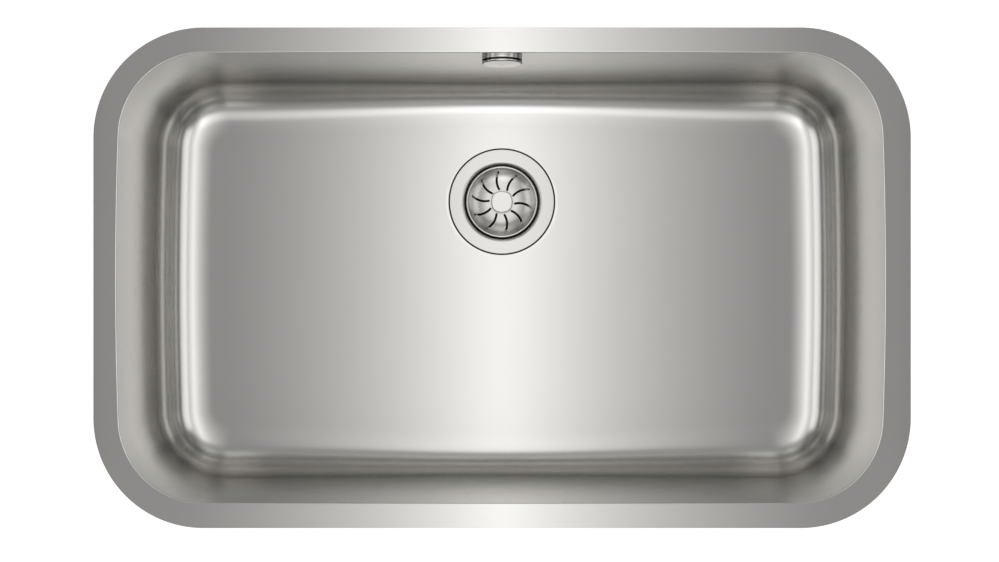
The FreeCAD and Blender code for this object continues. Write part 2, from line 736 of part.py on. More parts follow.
def make_stem():
    """Steel stem from inside the knob to the sleeve, with a head that keeps the sleeve on."""
    stem = turned([
        (0, stem_top_z, 0),
        (stem_r, stem_top_z, screw_collar_edge_r),
        (stem_r, sleeve_top_z + sleeve_end_play, 0),
        (stem_tip_r, sleeve_top_z + sleeve_end_play, 0),
        (stem_tip_r, sleeve_under_z - sleeve_end_play, 0),
        (stem_head_r, sleeve_under_z - sleeve_end_play, 0),
        (stem_head_r, sleeve_under_z - sleeve_end_play - stem_head_height, screw_collar_edge_r),
        (0, sleeve_under_z - sleeve_end_play - stem_head_height, 0),
    ])
    return at_waste(stem)


def make_stopper_seal():
    """Bell of soft rubber that closes the cup's drain grid when the basket is down."""
    bell = turned([
        (stem_r + thread_clearance, basket_seat_z, 0),
        (stopper_neck_r, basket_seat_z, 0),
        (stopper_neck_r, bell_top_z, stopper_shoulder_r),
        (stopper_lip_r, stopper_foot_z + stopper_lip_height, stopper_shoulder_r),
        (stopper_lip_r, stopper_foot_z, 0),
        (stopper_lip_r - stopper_lip_width, stopper_foot_z, 0),
        (washer_r + stopper_hollow_r, hub_under_z, stopper_hollow_r),
        (stem_r + thread_clearance, hub_under_z, 0),
    ])
    return at_waste(bell)


def make_stopper_washer():
    return at_waste(ring(washer_r, stem_r + thread_clearance, hub_under_z, nut_top_z))


def make_stem_nut():
    nut = hexagon_prism(nut_flats, nut_under_z, nut_top_z)
    bore = cylinder(stem_r + thread_clearance, Vector(0, 0, nut_under_z - past), UP, nut_height + 2 * past)
    return at_waste(nut.cut(bore))


def make_detent_sleeve():
    """Nylon sleeve that plugs into the centre screw's head and lets the stem turn in it."""
    outer_r = socket_r - sleeve_clearance
    sleeve = ring(outer_r, stem_tip_r + sleeve_play, sleeve_top_z, sleeve_under_z)
    half_groove = detent_ring_wire_r + sleeve_play
    middle_z = (sleeve_top_z + sleeve_under_z) / 2
    groove = ring(socket_r, detent_ring_r - half_groove, middle_z + half_groove, middle_z - half_groove)
    return at_waste(sleeve.cut(groove))


def make_detent_ring():
    """Rubber ring in the sleeve's groove: its grip in the socket is the basket's click."""
    middle = Vector(0, 0, (sleeve_top_z + sleeve_under_z) / 2)
    return at_waste(Part.makeTorus(detent_ring_r, detent_ring_wire_r, middle, UP))


# ---------------------------------------------------------------- overflow
def cap_legs(radius, low_z, high_z):
    """Three round legs near the cap's edge, one of them at the top."""
    centre_r = cap_r - cap_sheet - cap_leg_r - hose_fit
    leg = cylinder(radius, Vector(0, centre_r, low_z), UP, high_z - low_z)
    return round_pattern(leg, base_arm_count)


def make_overflow_base():
    """Base ring on the wall, with a collar in the wall's hole and a hub on three arms."""
    base = turned([
        (base_bore_r, base_plate, 0),
        (cap_r - base_ring_wall, base_plate, 0),
        (cap_r - base_ring_wall, base_height, base_edge_r),
        (cap_r, base_height, base_edge_r),
        (cap_r, 0, 0),
        (overflow_hole_r - base_collar_gap, 0, 0),
        (overflow_hole_r - base_collar_gap, -base_reach, 0),
        (base_bore_r, -base_reach, 0),
    ])
    hub = cylinder(base_hub_r, Vector(0, 0, -base_reach), UP, base_hub_height)
    arm = Part.makeBox(base_bore_r + base_reach / 3, base_arm_width, base_hub_height,
                       Vector(0, -base_arm_width / 2, -base_reach))
    arm.rotate(Vector(0, 0, 0), UP, -90)
    bosses = cap_legs(cap_leg_r + base_boss_wall, 0, base_height)
    base = base.fuse([hub] + bosses + round_pattern(arm, base_arm_count))
    base = base.cut(cylinder(cap_screw_r + thread_clearance, Vector(0, 0, -2 * base_reach), UP,
                             2 * base_reach + 2 * base_hub_height))
    leg_holes = cap_legs(cap_leg_r + thread_clearance, base_height - cap_leg_depth, base_height + past)
    return on_wall(base.cut(leg_holes))


def make_overflow_cap():
    """Plain round cap with a softened edge. It stands on three legs, and the water goes in round it."""
    skirt_z = base_height + water_gap
    shell = turned([
        (0, cap_height, 0),
        (cap_r, cap_height - cap_dome, cap_edge_r),
        (cap_r, skirt_z, 0),
        (cap_r - cap_sheet, skirt_z, 0),
        (cap_r - cap_sheet, cap_height - cap_dome - cap_sheet, cap_edge_r - cap_sheet),
        (0, cap_height - cap_sheet, 0),
    ])
    inner_z = cap_height - cap_dome - cap_sheet / 2
    return on_wall(shell.fuse(cap_legs(cap_leg_r, base_height - cap_leg_depth, inner_z)))


def make_overflow_screw():
    """Pan-head screw with a cross recess, behind the cap. It clamps the wall between base and elbow."""
    seat_z = base_hub_height - base_reach
    top_z = seat_z + cap_screw_head_height
    screw = turned([
        (0, top_z, 0),
        (cap_screw_head_r, top_z, cap_screw_head_edge_r),
        (cap_screw_head_r, seat_z, 0),
        (cap_screw_r, seat_z, 0),
        (cap_screw_r, seat_z - cap_screw_length, cap_screw_tip_r),
        (0, seat_z - cap_screw_length, 0),
    ])
    bar_corner = Vector(-cap_screw_recess_span / 2, -cap_screw_recess_width / 2, top_z - cap_screw_recess)
    bar = Part.makeBox(cap_screw_recess_span, cap_screw_recess_width, cap_screw_recess + past, bar_corner)
    return on_wall(screw.cut(bar.fuse(round_pattern(bar, 4)[1])))


def make_overflow_seal():
    outer = elbow_flange_r - sheet
    return on_wall(ring(outer, outer - overflow_seal_width, -sheet, -sheet - overflow_seal_thickness))


elbow_front_z = -sheet - overflow_seal_thickness
elbow_back_z = elbow_front_z - elbow_depth
elbow_insert_top_z = base_hub_height - base_reach - cap_screw_length + elbow_insert_length
spigot_axis_z = elbow_front_z - spigot_axis_depth


def make_overflow_elbow():
    """Moulded elbow: a round housing on a flange, with a screw boss and a spigot down the wall."""
    housing = turned([
        (0, elbow_front_z, 0),
        (elbow_flange_r, elbow_front_z, 0),
        (elbow_flange_r, elbow_front_z - elbow_flange_thickness, elbow_flange_edge_r),
        (elbow_r, elbow_front_z - elbow_flange_thickness, elbow_root_r),
        (elbow_r, elbow_back_z, elbow_back_r),
        (0, elbow_back_z, 0),
    ])
    down = Vector(0, -1, 0)
    spigot_start = Vector(0, 0, spigot_axis_z)
    housing = housing.fuse(cylinder(spigot_r, spigot_start, down, spigot_reach))
    hollow = turned([
        (0, elbow_front_z + past, 0),
        (elbow_r - elbow_wall, elbow_front_z + past, 0),
        (elbow_r - elbow_wall, elbow_back_z + elbow_wall, elbow_back_r / 2),
        (0, elbow_back_z + elbow_wall, 0),
    ])
    boss_height = elbow_insert_top_z - elbow_back_z
    boss = cylinder(elbow_boss_r, Vector(0, 0, elbow_back_z), UP, boss_height)
    spigot_bore = cylinder(spigot_r - spigot_wall, spigot_start, down, spigot_reach + past)
    pocket_start = Vector(0, 0, elbow_insert_top_z - elbow_insert_length)
    elbow = housing.cut(hollow).cut(spigot_bore).fuse(boss)
    elbow = elbow.cut(cylinder(elbow_insert_r, pocket_start, UP, elbow_insert_length))
    return on_wall(elbow.removeSplitter())


def make_overflow_insert():
    """Brass insert for the overflow's screw."""
    return on_wall(ring(elbow_insert_r, cap_screw_r + thread_clearance, elbow_insert_top_z,
                        elbow_insert_top_z - elbow_insert_length))


# ---------------------------------------------------------------- overflow hose
hose_down = -wall_up
cuff_start = wall_frame.multVec(Vector(0, -elbow_flange_r - cuff_gap, spigot_axis_z))
spigot_end = wall_frame.multVec(Vector(0, -spigot_reach, spigot_axis_z))
inlet_z = floor_z - inlet_drop
inlet_mouth = Vector(0, waste_y + inlet_reach, inlet_z)
hose_corner = cuff_start + hose_down * ((cuff_start.z - inlet_z) / wall_up.z)
hose_turn = math.pi / 2 - draft
bend_reach = hose_corner.y - inlet_mouth.y - hose_straight
hose_bend_r = bend_reach / math.tan(hose_turn / 2)
bend_start = hose_corner - hose_down * bend_reach
hose_end_depth = inlet_socket_depth - 1.0
clamp_screw_x = cuff_r + hose_fit + clamp_wall + clamp_ear_height / 2


def hose_stations():
    """The hose's run as (point, heading) at a distance from the cuff's start, and its length."""
    first = (bend_start - cuff_start).Length
    turn = hose_bend_r * hose_turn
    bend_end = hose_corner + Vector(0, -bend_reach, 0)
    last = bend_end.y - (inlet_mouth.y - hose_end_depth)
    centre = bend_end + Vector(0, 0, hose_bend_r)

    def station(distance):
        if distance <= first:
            return cuff_start + hose_down * distance, hose_down
        if distance <= first + turn:
            swept = draft + (distance - first) / hose_bend_r
            heading = Vector(0, -math.sin(swept), -math.cos(swept))
            outward = Vector(0, math.cos(swept), -math.sin(swept))
            return centre + outward * hose_bend_r, heading
        return bend_end + Vector(0, -(distance - first - turn), 0), Vector(0, -1, 0)

    return station, first + turn + last


def circle_at(point, heading, radius):
    """A circle across the hose's run, its start always on the +X side so that lofts don't twist."""
    circle = Part.makeCircle(radius)
    side = Vector(1, 0, 0)
    circle.Placement = FreeCAD.Placement(point, FreeCAD.Rotation(side, heading.cross(side), heading, "ZXY"))
    return Part.Wire(circle)


def make_overflow_hose():
    """Ribbed hose with a plain cuff at each end, over the elbow's spigot and inside the inlet."""
    station, length = hose_stations()
    top_cuff = (spigot_end - cuff_start).Length + cuff_gap
    bottom_cuff = hose_end_depth + cone_seal_length + inlet_nut_cap + cuff_gap
    ribs = int((length - top_cuff - bottom_cuff) / rib_pitch)
    slack = (length - top_cuff - bottom_cuff) - ribs * rib_pitch
    rings = [(0, cuff_r), (top_cuff, cuff_r)]
    for i in range(ribs):
        start = top_cuff + slack / 2 + i * rib_pitch
        rings += [(start + rib_pitch * share, radius) for share, radius in rib_profile]
    rings += [(length - bottom_cuff, cuff_r), (length, cuff_r)]
    outside = Part.makeLoft([circle_at(*station(distance), radius) for distance, radius in rings], True, True)
    bore_stops = [length * i / hose_bore_steps for i in range(hose_bore_steps + 1)]
    bore = Part.makeLoft([circle_at(*station(distance), hose_bore_r) for distance in bore_stops], True, True)
    spigot_depth = (spigot_end - cuff_start).Length + hose_fit
    return outside.cut(bore).cut(cylinder(spigot_r + hose_fit, cuff_start, hose_down, spigot_depth))


def on_cuff(shape):
    """Moves a shape from the clamp's own frame, with +Z down the hose and +X to the side, into place."""
    place = cuff_start + hose_down * ((spigot_end - cuff_start).Length / 2)
    side = Vector(1, 0, 0)
    turn = FreeCAD.Rotation(side, hose_down.cross(side), hose_down, "ZXY")
    shape.Placement = FreeCAD.Placement(place, turn)
    return shape


def make_hose_clamp():
    """Steel band round the hose's top cuff, open between two drilled ears."""
    band_r = cuff_r + hose_fit
    band = ring(band_r + clamp_wall, band_r, clamp_width / 2, -clamp_width / 2)
    half_ears = clamp_gap / 2 + clamp_wall
    ears = Part.makeBox(clamp_ear_height + clamp_wall / 2, 2 * half_ears, clamp_width,
                        Vector(band_r + clamp_wall / 2, -half_ears, -clamp_width / 2))
    gap = Part.makeBox(clamp_ear_height + clamp_wall + 2 * past, clamp_gap, clamp_width + 2 * past,
                       Vector(band_r - past, -clamp_gap / 2, -clamp_width / 2 - past))
    clamp = band.fuse(ears).cut(gap)
    hole_start = Vector(clamp_screw_x, -half_ears - past, 0)
    hole = cylinder(clamp_screw_r + thread_clearance, hole_start, Vector(0, 1, 0), 2 * (half_ears + past))
    return on_cuff(clamp.cut(hole))


def make_clamp_screw():
    """Cheese-head screw that draws the clamp's ears together."""
    across = Vector(0, 1, 0)
    seat_y = -clamp_gap / 2 - clamp_wall
    shank_length = clamp_gap + 2 * clamp_wall + clamp_screw_reach
    shank = cylinder(clamp_screw_r, Vector(clamp_screw_x, seat_y, 0), across, shank_length)
    head_top_y = seat_y - clamp_screw_head
    head = cylinder(clamp_screw_head_r, Vector(clamp_screw_x, head_top_y, 0), across, clamp_screw_head)
    slot = Part.makeBox(4 * clamp_screw_head_r, clamp_screw_head / 2, clamp_screw_slot,
                        Vector(clamp_screw_x - 2 * clamp_screw_head_r, head_top_y, -clamp_screw_slot / 2))
    return on_cuff(head.fuse(shank).cut(slot))


def along_inlet(shape):
    """Turns a shape's +Z along the inlet, pointing out, with z = 0 at the inlet's mouth."""
    shape.rotate(Vector(0, 0, 0), Vector(1, 0, 0), -90)
    shape.translate(inlet_mouth)
    return shape


def make_cone_seal():
    """Tapered rubber ring, squeezed between the inlet's mouth and the nut's cap."""
    return along_inlet(turned([
        (cuff_r + hose_fit, 0, 0),
        (inlet_thread_r - sheet, 0, 0),
        (inlet_thread_r - sheet, cone_seal_land, 0),
        (cuff_r + cone_seal_tip, cone_seal_length, 0),
        (cuff_r + hose_fit, cone_seal_length, 0),
    ]))


def make_inlet_nut():
    """Union nut over the inlet's thread, with grip ribs and a cap that leaves the cuff free."""
    bore_r = inlet_thread_r + thread_clearance
    top_z = cone_seal_length + inlet_nut_cap
    foot_z = top_z - inlet_nut_length
    nut = turned([
        (cuff_r + inlet_nut_play, top_z, 0),
        (bore_r + inlet_nut_wall, top_z, inlet_nut_cap_r),
        (bore_r + inlet_nut_wall, foot_z, inlet_nut_edge_r),
        (bore_r, foot_z, 0),
        (bore_r, cone_seal_length, 0),
        (cuff_r + inlet_nut_play, cone_seal_length, 0),
    ])
    rib_length = inlet_nut_length - inlet_nut_cap_r - 2 * inlet_nut_edge_r
    rib_corner = Vector(bore_r + inlet_nut_wall - past, -inlet_nut_rib_width / 2, foot_z + inlet_nut_edge_r)
    rib = Part.makeBox(inlet_nut_rib_height + past, inlet_nut_rib_width, rib_length, rib_corner)
    return along_inlet(nut.fuse(round_pattern(rib, inlet_nut_rib_count)))


# ---------------------------------------------------------------- the assembly
MAKERS = {
    "bowl": make_bowl,
    "sound_pad": make_sound_pad,
    "waste_cup": make_waste_cup,
    "flange_seal": make_flange_seal,
    "body_seal": make_body_seal,
    "waste_body": make_waste_body,
    "insert_nut": make_insert_nut,
    "centre_screw": make_centre_screw,
    "basket": make_basket,
    "knob": make_knob,
    "stem": make_stem,
    "stopper_seal": make_stopper_seal,
    "stopper_washer": make_stopper_washer,
    "stem_nut": make_stem_nut,
    "detent_sleeve": make_detent_sleeve,
    "detent_ring": make_detent_ring,
    "overflow_base": make_overflow_base,
    "overflow_cap": make_overflow_cap,
    "overflow_screw": make_overflow_screw,
    "overflow_seal": make_overflow_seal,
    "overflow_elbow": make_overflow_elbow,
    "overflow_insert": make_overflow_insert,
    "overflow_hose": make_overflow_hose,
    "hose_clamp": make_hose_clamp,
    "clamp_screw": make_clamp_screw,
    "cone_seal": make_cone_seal,
    "inlet_nut": make_inlet_nut,
}


def main():
    os.makedirs("parts", exist_ok=True)
    for name, make in MAKERS.items():
        shape = make()
        shape.exportStep(f"parts/{name}.step")
        print(f"{name}: {len(shape.Solids)} solid, {shape.Volume:.1f} mm3, valid {shape.isValid()}")


if __name__ == "__main__":
    main()
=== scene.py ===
"""Undermount kitchen sink on a pale floor, seen from straight above in soft studio light.

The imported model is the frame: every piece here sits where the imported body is. The pressed bowl and
the ribbed overflow hose get fine meshes of their own, worked out with numpy, and every other piece
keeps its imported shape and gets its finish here. Lengths in the classes are millimetres, and turn
into metres where a mesh is made.
"""
from __future__ import annotations

import logging
import math
from dataclasses import dataclass, replace
from enum import Enum

import bmesh
import bpy
import numpy as np
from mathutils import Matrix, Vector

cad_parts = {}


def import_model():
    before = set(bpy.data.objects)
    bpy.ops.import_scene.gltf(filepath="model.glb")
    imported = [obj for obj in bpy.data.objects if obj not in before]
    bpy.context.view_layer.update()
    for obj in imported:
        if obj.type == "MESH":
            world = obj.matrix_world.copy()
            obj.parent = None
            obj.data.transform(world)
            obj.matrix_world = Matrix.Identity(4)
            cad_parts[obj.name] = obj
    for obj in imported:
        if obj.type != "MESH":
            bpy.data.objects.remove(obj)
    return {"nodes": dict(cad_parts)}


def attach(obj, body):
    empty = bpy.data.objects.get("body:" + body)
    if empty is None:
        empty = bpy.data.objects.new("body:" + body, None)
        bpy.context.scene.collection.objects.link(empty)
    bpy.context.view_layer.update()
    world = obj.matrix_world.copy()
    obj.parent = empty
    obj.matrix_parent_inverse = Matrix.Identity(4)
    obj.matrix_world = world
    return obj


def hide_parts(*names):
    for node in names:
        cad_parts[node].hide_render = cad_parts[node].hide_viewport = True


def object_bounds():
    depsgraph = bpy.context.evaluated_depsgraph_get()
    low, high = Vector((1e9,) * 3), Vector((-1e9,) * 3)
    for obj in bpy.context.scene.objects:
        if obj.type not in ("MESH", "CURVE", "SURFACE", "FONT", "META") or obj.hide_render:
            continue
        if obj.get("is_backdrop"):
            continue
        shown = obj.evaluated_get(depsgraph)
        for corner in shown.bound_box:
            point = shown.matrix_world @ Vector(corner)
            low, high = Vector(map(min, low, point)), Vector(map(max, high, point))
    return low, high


LOG = logging.getLogger("sink")
Array = np.ndarray
Colour = tuple[float, float, float]
Point = tuple[float, float, float]
Made = dict[str, bpy.types.Material]

MM = 0.001
OPENING_WIDTH = 434.0
BOWL_DEPTH = 200.0
WALL_DRAFT = math.radians(4.2)
WASTE_Y = 83.0
OVERFLOW_DROP = 26.5
ON_WASTE_FLOOR = (0.0, WASTE_Y * MM, -BOWL_DEPTH * MM)
OVERFLOW_Y = OPENING_WIDTH / 2 - OVERFLOW_DROP * math.tan(WALL_DRAFT)
ON_OVERFLOW = (0.0, OVERFLOW_Y * MM, -OVERFLOW_DROP * MM)
UPWARDS = (0.0, 0.0, 1.0)
OUT_OF_WALL = (0.0, -math.cos(WALL_DRAFT), math.sin(WALL_DRAFT))


# ------------------------------------------------------------------------------------ mesh tools
def piece_from_grid(
    name: str,
    points: Array,
    faces: Array,
    body: str,
    unfolded: Array | None = None,
    sharp_angle: float = 32.0,
) -> bpy.types.Object:
    """Makes one finished piece from computed points and faces.

    Args:
        name: Name of the object and of its mesh.
        points: Vertices in millimetres, one row each.
        faces: Quads as rows of four indices into the points.
        body: Body of the frame that the piece rides on.
        unfolded: Flat place of each vertex on the sheet in metres, for the UV map.
        sharp_angle: Edges that turn by more degrees than this are shaded sharp.

    Returns:
        The object, at the origin, smooth shaded, with its faces pointing outwards.
    """
    mesh = bpy.data.meshes.new(name)
    mesh.vertices.add(len(points))
    mesh.vertices.foreach_set("co", (points * MM).astype(np.float32).ravel())
    mesh.loops.add(faces.size)
    mesh.loops.foreach_set("vertex_index", faces.astype(np.int32).ravel())
    mesh.polygons.add(len(faces))
    mesh.polygons.foreach_set("loop_start", np.arange(0, faces.size, faces.shape[1], dtype=np.int32))
    mesh.update(calc_edges=True)
    if unfolded is not None:
        layer = mesh.uv_layers.new(name="unfolded")
        layer.data.foreach_set("uv", unfolded[faces.ravel()].astype(np.float32).ravel())
    shell = bmesh.new()
    shell.from_mesh(mesh)
    bmesh.ops.recalc_face_normals(shell, faces=shell.faces)
    shell.to_mesh(mesh)
    shell.free()
    mesh.shade_smooth()
    mesh.set_sharp_from_angle(angle=math.radians(sharp_angle))
    piece = bpy.data.objects.new(name, mesh)
    bpy.context.scene.collection.objects.link(piece)
    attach(piece, body)
    return piece


def wrapped_quads(stations: int, around: int, closed: bool) -> Array:
    """Quads between neighbouring rings of a grid whose rings close on themselves.

    The quad at station i and place j joins (i, j), (i, j+1), (i+1, j+1) and (i+1, j).

    Args:
        stations: Number of rings.
        around: Number of points in each ring.
        closed: Whether the last ring joins the first one again.

    Returns:
        One row of four point indices for each quad.
    """
    rows = np.arange(stations if closed else stations - 1)[:, None]
    places = np.arange(around)[None, :]
    after_row = (rows + 1) % stations
    after_place = (places + 1) % around
    corners = (
        rows * around + places,
        rows * around + after_place,
        after_row * around + after_place,
        after_row * around + places,
    )
    return np.stack(corners, axis=-1).reshape(-1, 4)


def smooth_step(share: Array) -> Array:
    """The S-shaped curve 3t^2 - 2t^3, held at 0 before 0 and at 1 after 1."""
    held = np.clip(share, 0.0, 1.0)
    return held * held * (3.0 - 2.0 * held)


# ------------------------------------------------------------------------------------ finishes
class Bench:
    """A material under work: its node tree, with short calls to add and join nodes."""

    def __init__(self, name: str, colour: Colour, metallic: float, roughness: float) -> None:
        """Starts a material whose even values stand on the shader's own sockets.

        Args:
            name: Name of the material.
            colour: Plain colour in linear values.
            metallic: 1 for bare metal, 0 for anything else.
            roughness: Plain roughness.
        """
        self.material = bpy.data.materials.new(name)
        self.material.use_nodes = True
        self.material.diffuse_color = (*colour, 1.0)
        self.tree = self.material.node_tree
        self.shader = self.tree.nodes["Principled BSDF"]
        self.shader.inputs["Base Color"].default_value = (*colour, 1.0)
        self.shader.inputs["Metallic"].default_value = metallic
        self.shader.inputs["Roughness"].default_value = roughness

    def add(self, kind: str, **values: object) -> bpy.types.Node:
        """Adds a node. A value named as an input is set or linked there, any other on the node.

        Args:
            kind: Name of the node's class.
            values: Settings and inputs, with _ for a space in an input's name.

        Returns:
            The new node.
        """
        node = self.tree.nodes.new(kind)
        for key, value in values.items():
            label = key.replace("_", " ")
            if label in node.inputs:
                self.feed(node.inputs[label], value)
            else:
                setattr(node, key, value)
        return node

    def chain(self, kind: str, *values: object, **settings: object) -> bpy.types.Node:
        """Adds a node with settings, and feeds its inputs in their order."""
        node = self.add(kind, **settings)
        for socket, value in zip(node.inputs, values):
            self.feed(socket, value)
        return node

    def feed(self, socket: bpy.types.NodeSocket, value: object) -> None:
        """Links an output to a socket, or sets the socket to a plain value."""
        if isinstance(value, bpy.types.NodeSocket):
            self.tree.links.new(value, socket)
        else:
            socket.default_value = value

    def place(self, scale: Point, about: Point = (0.0, 0.0, 0.0),
              unfolded: bool = False) -> bpy.types.NodeSocket:
        """Coordinates for a pattern: metres on the object, or on its unfolded sheet, stretched.

        Args:
            scale: Stretch along each axis.
            about: Point that becomes the pattern's centre, in metres.
            unfolded: Whether to read the piece's own UV map.

        Returns:
            The vector output.
        """
        source = self.add("ShaderNodeTexCoord").outputs["UV" if unfolded else "Object"]
        moved = self.chain("ShaderNodeVectorMath", source, about, operation="SUBTRACT").outputs[0]
        return self.chain("ShaderNodeVectorMath", moved, scale, operation="MULTIPLY").outputs[0]

    def noise(self, vector: bpy.types.NodeSocket, detail: float = 3.0,
              roughness: float = 0.55) -> bpy.types.NodeSocket:
        """A noise of unit size over the given coordinates, from 0 to 1."""
        node = self.add("ShaderNodeTexNoise", Vector=vector, Scale=1.0, Detail=detail,
                        Roughness=roughness)
        return node.outputs["Fac"]

    def spread(self, value: bpy.types.NodeSocket, low: float, high: float,
               low_in: float = 0.3, high_in: float = 0.7) -> bpy.types.NodeSocket:
        """Maps a pattern's middle range onto low to high."""
        node = self.add("ShaderNodeMapRange", Value=value, From_Min=low_in, From_Max=high_in,
                        To_Min=low, To_Max=high)
        return node.outputs["Result"]

    def shade(self, factor: bpy.types.NodeSocket, first: object,
              second: object) -> bpy.types.NodeSocket:
        """A colour that runs from the first to the second with a factor."""
        node = self.add("ShaderNodeMix", data_type="RGBA", Factor=factor)
        for socket, value in zip(node.inputs[6:8], (first, second)):
            self.feed(socket, value)
        return node.outputs[2]

    def figure(self, operation: str, *values: object) -> bpy.types.NodeSocket:
        """One step of arithmetic on outputs or plain numbers."""
        return self.chain("ShaderNodeMath", *values, operation=operation).outputs[0]

    def axis_place(self, centre: Point,
                   axis: Point) -> tuple[bpy.types.NodeSocket, bpy.types.NodeSocket]:
        """Where a point lies about an axis.

        The height is the point's offset from the centre times the unit axis, and the distance is
        the root of the offset's square less the height's square.

        Args:
            centre: Point on the axis, in metres.
            axis: Unit vector along it.

        Returns:
            Distance from the axis and height along it, in metres.
        """
        offset = self.place((1.0, 1.0, 1.0), about=centre)
        along = self.chain("ShaderNodeVectorMath", offset, axis, operation="DOT_PRODUCT")
        length = self.chain("ShaderNodeVectorMath", offset, operation="LENGTH")
        height = along.outputs["Value"]
        square = self.figure("SUBTRACT", self.figure("POWER", length.outputs["Value"], 2.0),
                             self.figure("MULTIPLY", height, height))
        return self.figure("SQRT", self.figure("MAXIMUM", square, 0.0)), height

    def finish(self, shader: bpy.types.Node) -> None:
        """Makes a shader node the material's surface."""
        self.feed(self.tree.nodes["Material Output"].inputs["Surface"], shader.outputs[0])

    def darken(self, share: bpy.types.NodeSocket, colour: Colour) -> None:
        """Turns the base colour to another one by a share."""
        socket = self.shader.inputs["Base Color"]
        self.feed(socket, self.shade(share, socket.links[0].from_socket, (*colour, 1.0)))

    def vary(self, colour: Colour, tone: bpy.types.NodeSocket, tone_range: float,
             roughness: float, gloss: bpy.types.NodeSocket, gloss_range: float) -> None:
        """Lets colour and roughness swing about their plain values.

        Args:
            colour: Plain colour.
            tone: Pattern that the colour follows, from 0 to 1.
            tone_range: Share by which the colour swings to each side.
            roughness: Plain roughness.
            gloss: Pattern that the roughness follows.
            gloss_range: Share by which the roughness swings to each side.
        """
        dark = (*((1.0 - tone_range) * value for value in colour), 1.0)
        light = (*(min(1.0, (1.0 + tone_range) * value) for value in colour), 1.0)
        self.feed(self.shader.inputs["Base Color"], self.shade(tone, dark, light))
        rough = self.spread(gloss, roughness * (1.0 - gloss_range), roughness * (1.0 + gloss_range))
        self.feed(self.shader.inputs["Roughness"], rough)

    def bump(self, height: bpy.types.NodeSocket, depth: float) -> None:
        """Raises the surface by a pattern.

        Args:
            height: Pattern from 0 to 1.
            depth: Height of the pattern in metres.
        """
        node = self.add("ShaderNodeBump", Height=height, Distance=depth, Strength=1.0)
        if self.shader.inputs["Normal"].is_linked:
            self.feed(node.inputs["Normal"], self.shader.inputs["Normal"].links[0].from_socket)
        self.feed(self.shader.inputs["Normal"], node.outputs["Normal"])


class Grain(Enum):
    """Which way the fine lines of a metal finish run."""

    LENGTHWISE = "along the unfolded sheet"
    ROUND = "round the waste's axis"
    NONE = "polished smooth"


@dataclass(frozen=True)
class PaintedShade:
    """Painted shade in a deep place round an axis, blackened: a gap's walls, or the inside of a cap.

    The radii say where the dark starts, where it begins to fade and where it has gone, and with a
    start below zero it reaches in to the axis. Along the axis it runs from the bottom to the top.
    """

    centre: Point
    axis: Point
    radii: tuple[float, float, float]
    top: float
    bottom: float = -1.0
    # colour of the painted shade
    black: Colour = (0.02, 0.02, 0.02)

    def paint(self, bench: Bench) -> None:
        """Paints shade: blackens the place in a material whose base colour is already linked."""
        distance, height = bench.axis_place(self.centre, self.axis)
        share = bench.spread(distance, 1.0, 0.0, self.radii[1], self.radii[2])
        for limit in (bench.figure("GREATER_THAN", distance, self.radii[0]),
                      bench.figure("LESS_THAN", height, self.top),
                      bench.figure("GREATER_THAN", height, self.bottom)):
            share = bench.figure("MULTIPLY", share, limit)
        bench.darken(share, self.black)


@dataclass(frozen=True)
class SteelFinish:
    """Bare metal, brushed, spun or polished. The scales are how many times a pattern fits a metre."""

    name: str
    colour: Colour
    roughness: float
    grain: Grain
    stretch: float = 0.0
    line_depth: float = 0.0
    wave_depth: float = 0.0
    # places where shade is painted black into the colour
    dark: tuple[PaintedShade, ...] = ()
    brush_scale: Point = (14.0, 2600.0, 1.0)
    ring_scale: float = 5200.0
    grit_scale: Point = (900.0, 900.0, 900.0)
    cloud_scale: Point = (7.0, 7.0, 7.0)
    wave_scale: Point = (16.0, 16.0, 16.0)
    brush_turn: float = 0.25
    line_share: float = 0.5
    cloud_share: tuple[float, float] = (0.15, 0.35)
    tone_range: float = 0.025
    gloss_range: float = 0.08

    def lines(self, bench: Bench) -> bpy.types.NodeSocket:
        """The fine lines: along the unfolded sheet, round the waste, or an even grit.

        The round ones are a noise of the distance from the waste's axis alone.

        Args:
            bench: The material.

        Returns:
            Pattern from 0 to 1.
        """
        if self.grain is Grain.LENGTHWISE:
            tangent = bench.add("ShaderNodeTangent", direction_type="UV_MAP", uv_map="unfolded")
            bench.feed(bench.shader.inputs["Tangent"], tangent.outputs["Tangent"])
            bench.feed(bench.shader.inputs["Anisotropic"], self.stretch)
            bench.feed(bench.shader.inputs["Anisotropic Rotation"], self.brush_turn)
            return bench.noise(bench.place(self.brush_scale, unfolded=True), detail=4.0, roughness=0.7)
        if self.grain is Grain.ROUND:
            distance, _ = bench.axis_place(ON_WASTE_FLOOR, UPWARDS)
            turns = bench.figure("MULTIPLY", distance, self.ring_scale)
            rings = bench.add("ShaderNodeCombineXYZ", X=turns)
            return bench.noise(rings.outputs[0], detail=2.0, roughness=0.6)
        return bench.noise(bench.place(self.grit_scale), detail=2.0)

    def make(self) -> bpy.types.Material:
        """Builds the material: fine lines, faint cloudiness and a slow waviness of the sheet."""
        bench = Bench(self.name, self.colour, 1.0, self.roughness)
        lines = self.lines(bench)
        cloud = bench.noise(bench.place(self.cloud_scale), detail=2.0, roughness=0.5)
        clouds = bench.spread(cloud, *self.cloud_share)
        blend = bench.figure("MULTIPLY_ADD", lines, self.line_share, clouds)
        bench.vary(self.colour, blend, self.tone_range, self.roughness, blend, self.gloss_range)
        # painted shade in the deep places
        for place in self.dark:
            place.paint(bench)
        if self.line_depth:
            bench.bump(lines, self.line_depth)
        if self.wave_depth:
            bench.bump(bench.noise(bench.place(self.wave_scale), detail=1.0), self.wave_depth)
        return bench.material


